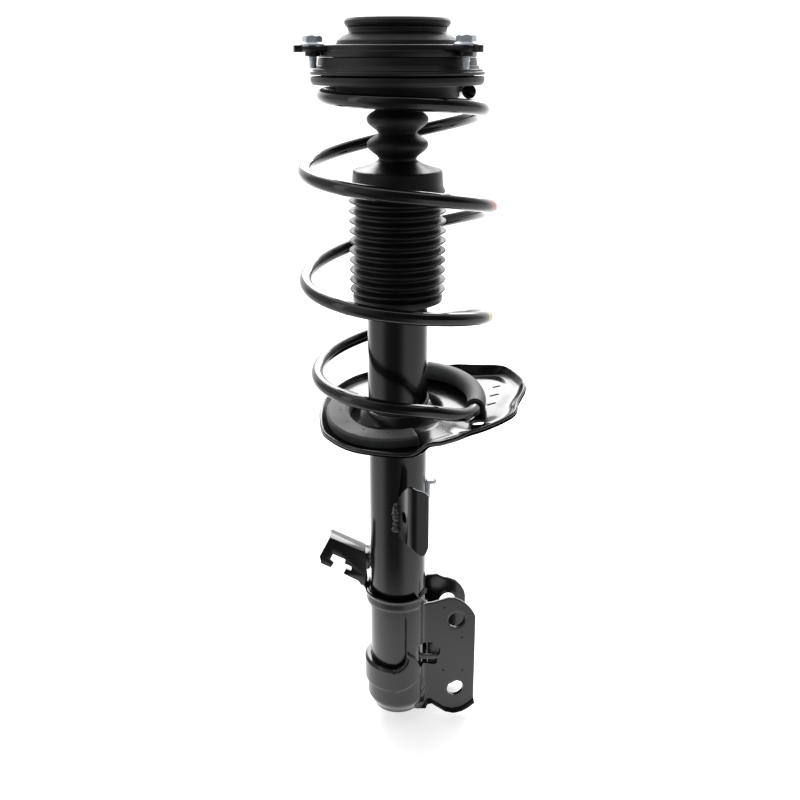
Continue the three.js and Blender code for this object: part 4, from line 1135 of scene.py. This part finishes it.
def panSkin():
    # rings from hub to rim; height = hub profile inside, share * rim height at the edge, presses between
    rim = closedCurve(panOutline, 420)
    reach = np.linalg.norm(rim, axis=1)
    angle = np.degrees(np.arctan2(rim[:, 1], rim[:, 0]))
    hub, edge = np.array(panHub), np.array(panEdge)
    hubEnd, edgeStart = hub[-1, 0], edge[0, 0]
    shares = np.linspace(0, 1, 26)[1:-1]
    floorRadius = hubEnd + (reach - edgeStart - hubEnd) * shares[:, None]
    radius = np.concatenate([hub[:, :1] + 0 * reach, floorRadius, reach - edge[:, :1]])
    rimHeight = pan["rim"] + sum(gained * bulgeAt(angle, at, half) for at, half, gained in pan["rimChanges"])
    height = np.concatenate([hub[:, 1:] + 0 * reach, 0 * floorRadius, edge[:, 1:] * rimHeight])
    for at, half, gained, start, full, rimStart, rimFull in pan["presses"]:
        outer = smoothstep(radius, reach - rimStart, reach - rimFull)
        height = height + gained * bulgeAt(angle, at, half) * smoothstep(radius, start, full) * outer
    direction = rim / reach[:, None]
    points = np.concatenate([radius[..., None] * direction, height[..., None]], -1)
    around = (np.roll(points, -1, 1) - np.roll(points, 1, 1)) / 2
    normal = unit(np.cross(around, np.gradient(points, axis=0)))
    normal *= np.sign(normal[4, 0, 2])
    under = points - normal * (pan["sheet"] + pan["roll"] * smoothstep(reach - radius, 9, 1))[..., None]
    turn = np.linspace(0, math.pi, 10)[1:-1, None, None]
    outward = np.concatenate([direction, 0 * direction[:, :1]], -1)
    middle, half = (points[-1] + under[-1]) / 2, (points[-1] - under[-1]) / 2
    lip = middle + half * np.cos(turn) + outward * pan["lip"] * np.sin(turn)
    shell = np.concatenate([points, lip, under[::-1]])
    return onPerch(shell), gridFaces(len(shell), len(rim), closedRows=True)


seat = makePiece("spring_pan", *panSkin(), "black_paint", "lower_strut", "lower_spring_seat")
cutOut(seat, [movedPart(slab(slotOutline(*slot), -12, 14, 0), onPerch) for slot in pan["slots"]])

pad = {
    "inner": 42, "outer": 61.5, "low": 0.3, "high": 9.3, "from": 130, "to": 274,
    "pinholes": (171, 197, 223, 249), "pinCircle": 49, "pinRadius": 0.8,
}


def padPiece():
    # rounded section [radius, height] carried round the axis between two angles, ends rounded off
    inner, outer, low, high = pad["inner"], pad["outer"], pad["low"], pad["high"]
    start, end = pad["from"], pad["to"]
    section = rounded([
        [inner, low, 0.4], [outer, low, 0.8], [outer + 0.3, high - 1.5, 0.8], [outer - 1.6, high, 1.2],
        [inner + 3, high - 0.6, 1], [inner, high - 2.6, 0.8],
    ])
    angle = np.radians(np.concatenate([[start] * 2, np.linspace(start + 0.8, end - 0.8, 70), [end] * 2]))
    middle = section.mean(0)
    shrink = np.ones(len(angle))
    shrink[[0, -1]], shrink[[1, -2]] = 0, 0.9
    profile = middle + (section - middle) * shrink[:, None, None]
    points = onPerch(polar(profile[..., 0], angle[:, None], profile[..., 1]))
    faces = gridFaces(len(angle), len(section))
    node = "lower_insulator"
    piece = makePiece("seat_cushion_pad", points, faces, "grey_rubber", "lower_strut", node, sharp=40)
    middles = [pad["pinCircle"] * heading(degrees)[:2] for degrees in pad["pinholes"]]
    pins = [slab(circle(middle, pad["pinRadius"], 12), high - 2, high + 3, 0) for middle in middles]
    cutOut(piece, [movedPart(pin, onPerch) for pin in pins], 40)


padPiece()


def tubeWeld(name, middle, size, span, seed, rise=0):
    # bead round the tube: section radius = size * (1 + ripple), ripple from overlapping cosines of the angle
    rng = np.random.default_rng(seed)
    count = 240
    angle = np.radians(np.linspace(*span, count))
    phase = rng.uniform(0, 6, 3)
    ripples = zip((0.12, 0.1, 0.08), (95, 31, 7), phase)
    radius = size * (1 + sum(depth * np.cos(waves * angle + shift) for depth, waves, shift in ripples))
    if span[1] - span[0] < 359:
        step = np.arange(count)
        radius = radius * smoothstep(step, 0, 6) * smoothstep(step, count - 1, count - 7)
    around = fullTurn(14)
    flat = tubeRadius + 0.2 + radius[:, None] * np.cos(around)
    tilt = rise * tubeRadius * np.cos(angle - math.radians(perch["towards"]))
    points = polar(flat, angle[:, None], middle + tilt[:, None] + radius[:, None] * np.sin(around))
    makePiece(name, points, gridFaces(count, 14), "weld_bead", "lower_strut", sharp=60)


tubeWeld("seat_weld", perch["floor"] + 12.2, 1.7, (0, 360), 3, math.tan(math.radians(perch["rise"])))
print("lower seat done")

# Knuckle bracket

knuckle = {
    "reach": 71, "half": 19, "sheet": 3.1, "bend": 20.9, "bendRadius": 6.5, "collar": 29, "top": 115.8,
    "low": -10, "wrap": 57,
    "window": (42, 103), "windowEdge": 86, "windowEnd": 2, "corner": 15, "band": 2.4, "bandWidth": 25,
    "holes": [(52.3, 5.5), (52.3, 81.5)], "holeRadius": 8,
    "dimples": [(58, 62), (59, 25), (40, 97), (40, 28)],
}
# [x, height] of the flanges' edges
frontTop = [
    [20.9, 103.4], [30, 103.8], [38, 105.2], [44.4, 106.4], [50, 105.4], [56, 102], [61, 98], [65, 93.4],
    [68, 89], [70, 85], [71, 82],
]
backTop = [
    [20.9, 106], [28, 109.5], [33, 111.4], [42, 111], [48, 107], [55, 104.6], [61, 101.4], [66, 96],
    [69.4, 90], [71, 84],
]
lowEdge = [
    [20.9, -10], [24, -6], [28, -5.6], [33, -10], [42, -17.6], [50, -20.6], [58, -20], [64, -17.4],
    [68, -14.6], [71, -12.4],
]


def wrapLine():
    # the far flange, round the back of the tube, the near flange: the outer face is on the line's right
    turn = np.radians(np.linspace(-knuckle["wrap"], knuckle["wrap"] - 360, 120))
    back = knuckle["collar"] * np.stack([np.cos(turn), np.sin(turn)], 1)
    half = knuckle["half"]
    front = [[knuckle["reach"], -half, 0], [knuckle["bend"], -half, knuckle["bendRadius"]], [*back[0], 0]]
    front = rounded(front, 8)
    return np.concatenate([front[:-1], back, (front[:-1] * [1, -1])[::-1]])[::-1]


bracketLine = wrapLine()
bracketLength = resampled(bracketLine, [0])[1]


def bracketTop(steps, place):
    # the collar's even top, then the table of the flange on this side
    x = place[:, 0]
    collar = knuckle["top"] - 13 * smoothstep(x, 14, 22)
    flange = np.where(steps > bracketLength / 2, np.interp(x, *zip(*frontTop)), np.interp(x, *zip(*backTop)))
    return np.where(x > knuckle["bend"], flange, collar)


def bracketLow(steps, place):
    # the collar's even foot, then the table of the flanges
    x = place[:, 0]
    return np.where(x > knuckle["bend"], np.interp(x, *zip(*lowEdge)), knuckle["low"])


def ridge(value, middle, half):
    # a smooth ridge, 1 at the middle
    return np.exp(-(((value - middle) / half) ** 2))


def windowGap(arc, height):
    # signed distance outside the rounded window, in the sheet's own plane
    half = math.radians(180 - knuckle["windowEdge"]) * knuckle["collar"]
    low, high = knuckle["window"]
    x = np.abs(arc) - (half - knuckle["corner"])
    y = np.abs(height - (low + high) / 2) - ((high - low) / 2 - knuckle["corner"])
    return np.hypot(np.maximum(x, 0), np.maximum(y, 0)) + np.minimum(np.maximum(x, y), 0) - knuckle["corner"]


def bracketBulge(steps, height, low, high):
    # raised belt under the window that thins out up its side, rolled top ring, tucked foot, flared lip
    arc = bracketLength / 2 - steps
    gap = windowGap(arc, height)
    width = knuckle["bandWidth"] * (1 - smoothstep(height, 36, 66)) + 0.01
    belt = smoothstep(gap, 0.3, 2.2) * smoothstep(gap, width, width - 2.6) * (height < 66) * (height > 10)
    collar = smoothstep(np.abs(arc), 69, 60)
    seam = ridge(arc, 23.5, 0.7) * (height < 42) * 0.7
    ring = 0.9 * smoothstep(height, 103.5, 106) * collar
    flare = 1.3 * smoothstep(height, high - 3.2, high - 0.4) * collar
    tuck = -5.2 * smoothstep(height, 3, -10) * collar
    curl = np.clip((low + 7 - height) / 7, 0, 1)
    lip = 5.5 * (1 - np.sqrt(1 - (0.98 * curl) ** 2)) * (1 - collar)
    gusset = 1.5 * ridge(np.abs(arc), 68, 2.2) * (ridge(height, 14, 3) + ridge(height, 5, 2.6))
    along = knuckle["reach"] - (bracketLength / 2 - np.abs(arc))
    away = [np.hypot(along - x, height - z) - knuckle["holeRadius"] for x, z in knuckle["holes"]]
    press = -0.55 * sum(smoothstep(one, 1.6, 0) for one in away) * smoothstep(np.abs(arc), 70, 74)
    return knuckle["band"] * belt * collar - seam * collar + ring + flare + tuck + lip + gusset + press


clamp = foldedSheet(bracketLine, 0.85, bracketLow, bracketTop, knuckle["sheet"], 100, bracketBulge, 0.8)
bracket = makePiece("knuckle_clamp", *clamp, "black_paint", "lower_strut", "knuckle_bracket", sharp=42)
notch = [
    [10.2, 54, 2], [11.8, 62, 1.5], [17, 62.7, 2], [29.5, 60.5, 1.5], [32.5, 54.5, 2], [37, 52.5, 1.2],
    [36.4, 46.4, 1.2], [33.6, 45, 0.8], [34, 37.5, 1.5], [31, 35.8, 1.5], [15.5, 41, 2],
]


def flangeCutters():
    # the window round the back, bolt holes, small dimples and the notch at each bend
    low, high = knuckle["window"]
    end, far = knuckle["windowEnd"], 60
    opening = rounded([[-far, low, 0], [end, low, 13], [end, high, 9], [-far, high, 0]], 10)
    parts = [slab(opening, -far, far, 0)]
    parts += [slab(circle(hole, knuckle["holeRadius"], 48), -far, far, 0) for hole in knuckle["holes"]]
    for spot in knuckle["dimples"]:
        cone = np.stack([circle(spot, radius, 16) for radius in (0.5, 1.5)])
        depth = -knuckle["half"] + np.array([0.7, -0.4])
        parts.append(lidded(np.concatenate([cone, np.broadcast_to(depth[:, None, None], (2, 16, 1))], -1)))
    parts += [slab(rounded(notch), -far, -8, 0), slab(rounded(notch), 8, far, 0)]
    return [movedPart(part, standing) for part in parts]


cutOut(bracket, flangeCutters(), 42)
tongueOutline = [[12.5, 45.5, 1], [30, 42, 1], [34.6, 43.4, 1], [33, 46.6, 1], [18, 50, 1], [12.5, 50.5, 1]]
tongue = slab(rounded(tongueOutline), -knuckle["half"] - 1.1, -knuckle["half"] + 1.6, 0.9)
makePiece("clamp_tongue", *joined(movedPart(tongue, standing)), "black_paint", "lower_strut")
print("knuckle bracket done")

# curved stiffener between the flanges, its top edge lower and its foot higher towards its sides
stiff = {
    "wall": 2.6, "low": 8, "high": 96, "half": 26, "halfWidth": 12.5, "dip": 9, "foot": 7, "ribs": (34, 70),
}
stiffTurn = np.radians(np.linspace(-stiff["half"], stiff["half"], 40))
stiffLine = (tubeRadius + 0.3 + stiff["wall"]) * np.stack([np.cos(stiffTurn), np.sin(stiffTurn)], 1)


def stiffTop(steps, place):
    # high - dip * (y / half width)^4, and the same upwards at the foot
    return stiff["high"] - stiff["dip"] * (place[:, 1] / stiff["halfWidth"]) ** 4


def stiffLow(steps, place):
    return stiff["low"] + stiff["foot"] * (place[:, 1] / stiff["halfWidth"]) ** 4


def stiffBulge(steps, height, low, high):
    # two pressed ribs across the stiffener
    return 0.5 * sum(ridge(height, rib, 4) for rib in stiff["ribs"])


stiffener = foldedSheet(stiffLine, 0.9, stiffLow, stiffTop, stiff["wall"], 60, stiffBulge, 0.6)
makePiece("clamp_stiffener", *stiffener, "black_paint", "lower_strut", "bracket_reinforcement")
tubeWeld("clamp_weld_front", 113.5, 1.9, (-52, -24), 5)
tubeWeld("clamp_weld_back", 113.5, 1.9, (24, 52), 6)
tubeWeld("clamp_weld_foot", 1.5, 1.7, (-50, 50), 7)


# Small brackets on the tube

link = {
    "root": -6, "face": -1, "reach": -54, "bend": 7.5, "end": 15.5, "sheet": 3, "hole": (-41, 207),
    "holeRadius": 5.2,
}
# heights of the link plate's edges by distance along the sheet from the tube
linkTopEdge = [
    [0, 219], [5, 223], [12, 230.5], [19, 236.5], [24, 239.5], [28, 239.5], [33, 237.5], [37, 236],
    [41, 233.5], [45, 228],
]
linkLowEdge = [
    [0, 180.5], [5, 181], [12, 181.5], [20, 182.5], [26, 184], [30, 180], [35, 175.5], [39, 174],
    [42, 178.5], [44, 188],
]


def smoothLine(table, steps):
    # the table's heights, rounded off by averaging over 3 mm
    return np.mean([np.interp(steps + shift, *zip(*table)) for shift in np.linspace(-1.5, 1.5, 7)], 0)




def linkPlate():
    # a web out from the tube, folded into a face across the front, with a hole through the web
    root, end = [link["root"], -tubeRadius - 0.3, 0], [link["end"], link["reach"], 0]
    line = rounded([root, [link["face"], link["reach"], link["bend"]], end], 10)
    sheet = foldedSheet(
        line, 0.8, lambda steps, place: smoothLine(linkLowEdge, steps),
        lambda steps, place: smoothLine(linkTopEdge, steps), link["sheet"], 60, edge=0.8,
    )
    piece = makePiece("link_plate", *sheet, "black_paint", "lower_strut", "link_bracket")
    hole = slab(circle(link["hole"], link["holeRadius"], 40), -20, 20, 0)
    cutOut(piece, [movedPart(hole, lambda points: points[:, [2, 0, 1]])])


linkPlate()


def beadAlong(name, start, end, size, lumps, seed, node=None, stretch=(1, 1)):
    # fish-scale bead: radius = size * end taper * (1 + saw of the length + slow wobble)
    rng = np.random.default_rng(seed)
    share = np.linspace(0, 1, 150)
    saw = (share * lumps) % 1
    waves = ((0.12, 11), (0.06, 37))
    wobble = sum(depth * np.sin(share * count + rng.uniform(0, 6)) for depth, count in waves)
    taper = np.minimum(smoothstep(share, -0.03, 0.09), smoothstep(share, 1.03, 0.91))
    radius = size * (1 + 0.16 * saw**2 - 0.08 + wobble) * taper
    turn = fullTurn(28)
    rough = 1 + 0.05 * np.sin(turn * 3 + share[:, None] * 40) + 0.04 * np.cos(turn * 5 - share[:, None] * 63)
    line = np.array(start) + share[:, None] * (np.array(end) - start)
    section = (radius[:, None] * rough)[..., None] * circle((0, 0), 1, 28) * stretch
    side, up = np.broadcast_to([1.0, 0, 0], line.shape), np.broadcast_to([0, 1.0, 0], line.shape)
    makePiece(name, *sweep(line, section, side, up), "weld_bead", "lower_strut", node, sharp=70)


wallFront = -tubeRadius + 0.9
linkWeldEnds = (-5.6, wallFront, 184), (-5.2, wallFront, 214)
beadAlong("link_weld", *linkWeldEnds, 4.9, 8, 11, "link_bracket_weld", (1, 0.72))

hose = {"front": -4, "sheet": 3, "depth": 17, "turn": -12.4}
# face outline [out from the tube's wall, height]
hoseFace = [
    [36.5, 167, 2], [46.5, 147, 1.6], [45.5, 140, 1.2], [36.5, 135.5, 0.5], [33.5, 140, 0.5],
    [37, 143.5, 0.6], [34, 149.5, 0.6], [23, 144, 0.5], [23.5, 139.5, 0.5], [17.5, 136.5, 0.6],
    [17.5, 132, 0.6], [22.5, 134, 0.5], [25, 129, 0.6], [11.5, 121.5, 1.2], [8.5, 117, 1], [3.5, 117, 1.5],
    [2.5, 126, 4], [4.5, 143, 3], [4.5, 151, 1.5],
]


def hosePlate():
    # a clip face with an open slot, then roof, foot, stub and brace folded back from it
    front = hose["front"]
    folds = [
        # outline, from, to, edge
        (hoseFace, 0, hose["sheet"], 0.4),
        ([[36.8, 167.2, 1.2], [4.5, 151.4, 1], [4.5, 148.2, 1], [36.6, 164, 1]], 0.2, hose["depth"], 0.7),
        ([[5.5, 151, 1], [0.3, 149.5, 0.5], [0.3, 134, 0.5], [5.2, 133, 1]], 0.3, hose["depth"], 0.7),
        ([[46.4, 147.5, 1], [45.4, 140.2, 1], [43.2, 139.5, 1], [43.6, 147.5, 1]], 0.2, 7, 0.7),
        ([[13, 124, 1], [4, 112.5, 1], [2, 116, 1], [6, 128, 1]], 0.2, 6, 0.6),
    ]
    parts = []
    for outline, start, end, edge in folds:
        corners = np.array(outline, float) * [-1, 1, 1] - [tubeRadius, 0, 0]
        fold = slab(rounded(corners), front + start, front + end, edge)
        parts.append(movedPart(fold, standing, hose["turn"]))
    makePiece("hose_clip", *joined(*parts), "black_paint", "lower_strut", "hose_bracket")


hosePlate()
wallLeft = -tubeRadius * 0.99
beadAlong("hose_weld", (wallLeft, 3, 136), (wallLeft, 3, 150), 1.8, 5, 13)

tab = {"low": 206.5, "high": 223, "width": 9, "reach": 8, "sheet": 3, "turn": -9}


def sensorPlate():
    # a bent tab: up the tube's wall, then out, its tip turned up a little
    root, out = tubeRadius + 0.3, tubeRadius + tab["reach"]
    low, high, sheet = tab["low"], tab["high"], tab["sheet"]
    profile = rounded([
        [root, low, 0.4], [root, high, 1], [out - 1, high + 0.2, 0.6], [out, high + 1.6, 0.4],
        [out + 1, high + 1, 0.4], [out + 0.4, high - sheet, 0.6], [root + sheet, high - sheet, 1.2],
        [root + sheet, low, 0.5],
    ])
    part = movedPart(slab(profile, -tab["width"] / 2, tab["width"] / 2, 0.3), standing, tab["turn"])
    makePiece("sensor_clip", *joined(part), "zinc_plate", "lower_strut", "sensor_tab")


sensorPlate()
print("small brackets done")

# Hidden parts keep their frame shapes

hiddenCoats = {
    "foot_valve": "sintered_iron", "inner_cylinder": "bare_steel", "piston": "sintered_iron",
    "piston_nut": "bare_steel",
    "rebound_stop": "black_plastic", "rod_guide": "sintered_iron", "rod_seal": "black_rubber",
    "bearing_ball_ring": "bare_steel",
}
for node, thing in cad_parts.items():
    if not thing.hide_render:
        thing.data.materials.clear()
        thing.data.materials.append(coats[hiddenCoats.get(node, "black_paint")])

# Floor


def floorPaint():
    # Pale table whose glow is painted light: it lights the strut, brightest close to the foot and behind.
    # What the gloss mirrors of it is a painted dark reflection on the camera's side, standing in for a black
    # card that isn't there.
    paint = Paint("studio floor", Specular_IOR_Level=0.1, Emission_Strength=1)
    flat = paint.vector("MULTIPLY", paint.spot(), (1, 1, 0))
    away = paint.vector("LENGTH", flat, output="Value")
    # painted dark reflection: the mirrored floor goes dark on the camera's side, away from the foot
    dark = paint.fade(facing(paint, flat, studio["floorDark"]), *cardEdge(studio["floorDarkHalf"]))
    dark = dark * paint.fade(away, 0.12, 0.3)
    behind = paint.fade(facing(paint, flat, studio["backHeading"]), 0.4, 0.95)
    seen = paint.node("ShaderNodeLightPath", output="Is Camera Ray")
    # painted light: the floor's glow is brighter behind and close to the foot; camera rays see an even glow
    pale = paint.mix(behind, (0.5,) * 3, (1.6,) * 3)
    lit = paint.mix(paint.fade(away, 0.3, 0.1), pale, (studio["near"],) * 3)
    glow = paint.mix(seen, paint.mix(dark, lit, (studio["dark"],) * 3), (0.62,) * 3)
    # painted shade: rays other than the camera's see a darker floor colour, darkest in the painted card
    plain = paint.mix(seen, (0.38,) * 3, (0.93,) * 3)
    body = paint.mix(dark * (1 - seen), plain, (0.05,) * 3)
    return paint.feed(Base_Color=body, Emission_Color=glow, Roughness=0.6 + paint.noise(3, 4) * 0.1)


def studioFloor():
    # a level floor that curves up into a wall behind: height = floor + bend * (1 - cos), in metres
    bend, wall = 1.5, 5
    across = np.linspace(-9, 9, 3)
    turn = np.linspace(0, math.pi / 2, 13)
    away = np.concatenate([[-7, 4], wall + bend * np.sin(turn), [wall + bend]])
    height = np.concatenate([[0, 0], bend * (1 - np.cos(turn)), [7]]) + studio["floor"]
    points = np.stack(np.broadcast_arrays(across, away[:, None], height[:, None]), -1)
    mesh = bpy.data.meshes.new("floor")
    faces = gridFaces(len(away), 3, closedColumns=False)
    mesh.from_pydata(spun(points, view["heading"]).reshape(-1, 3).tolist(), [], faces.tolist())
    floor = addObject("floor", mesh)
    mesh.materials.append(floorPaint())
    smoothFaces(mesh, 60)


studioFloor()
print("scene done")
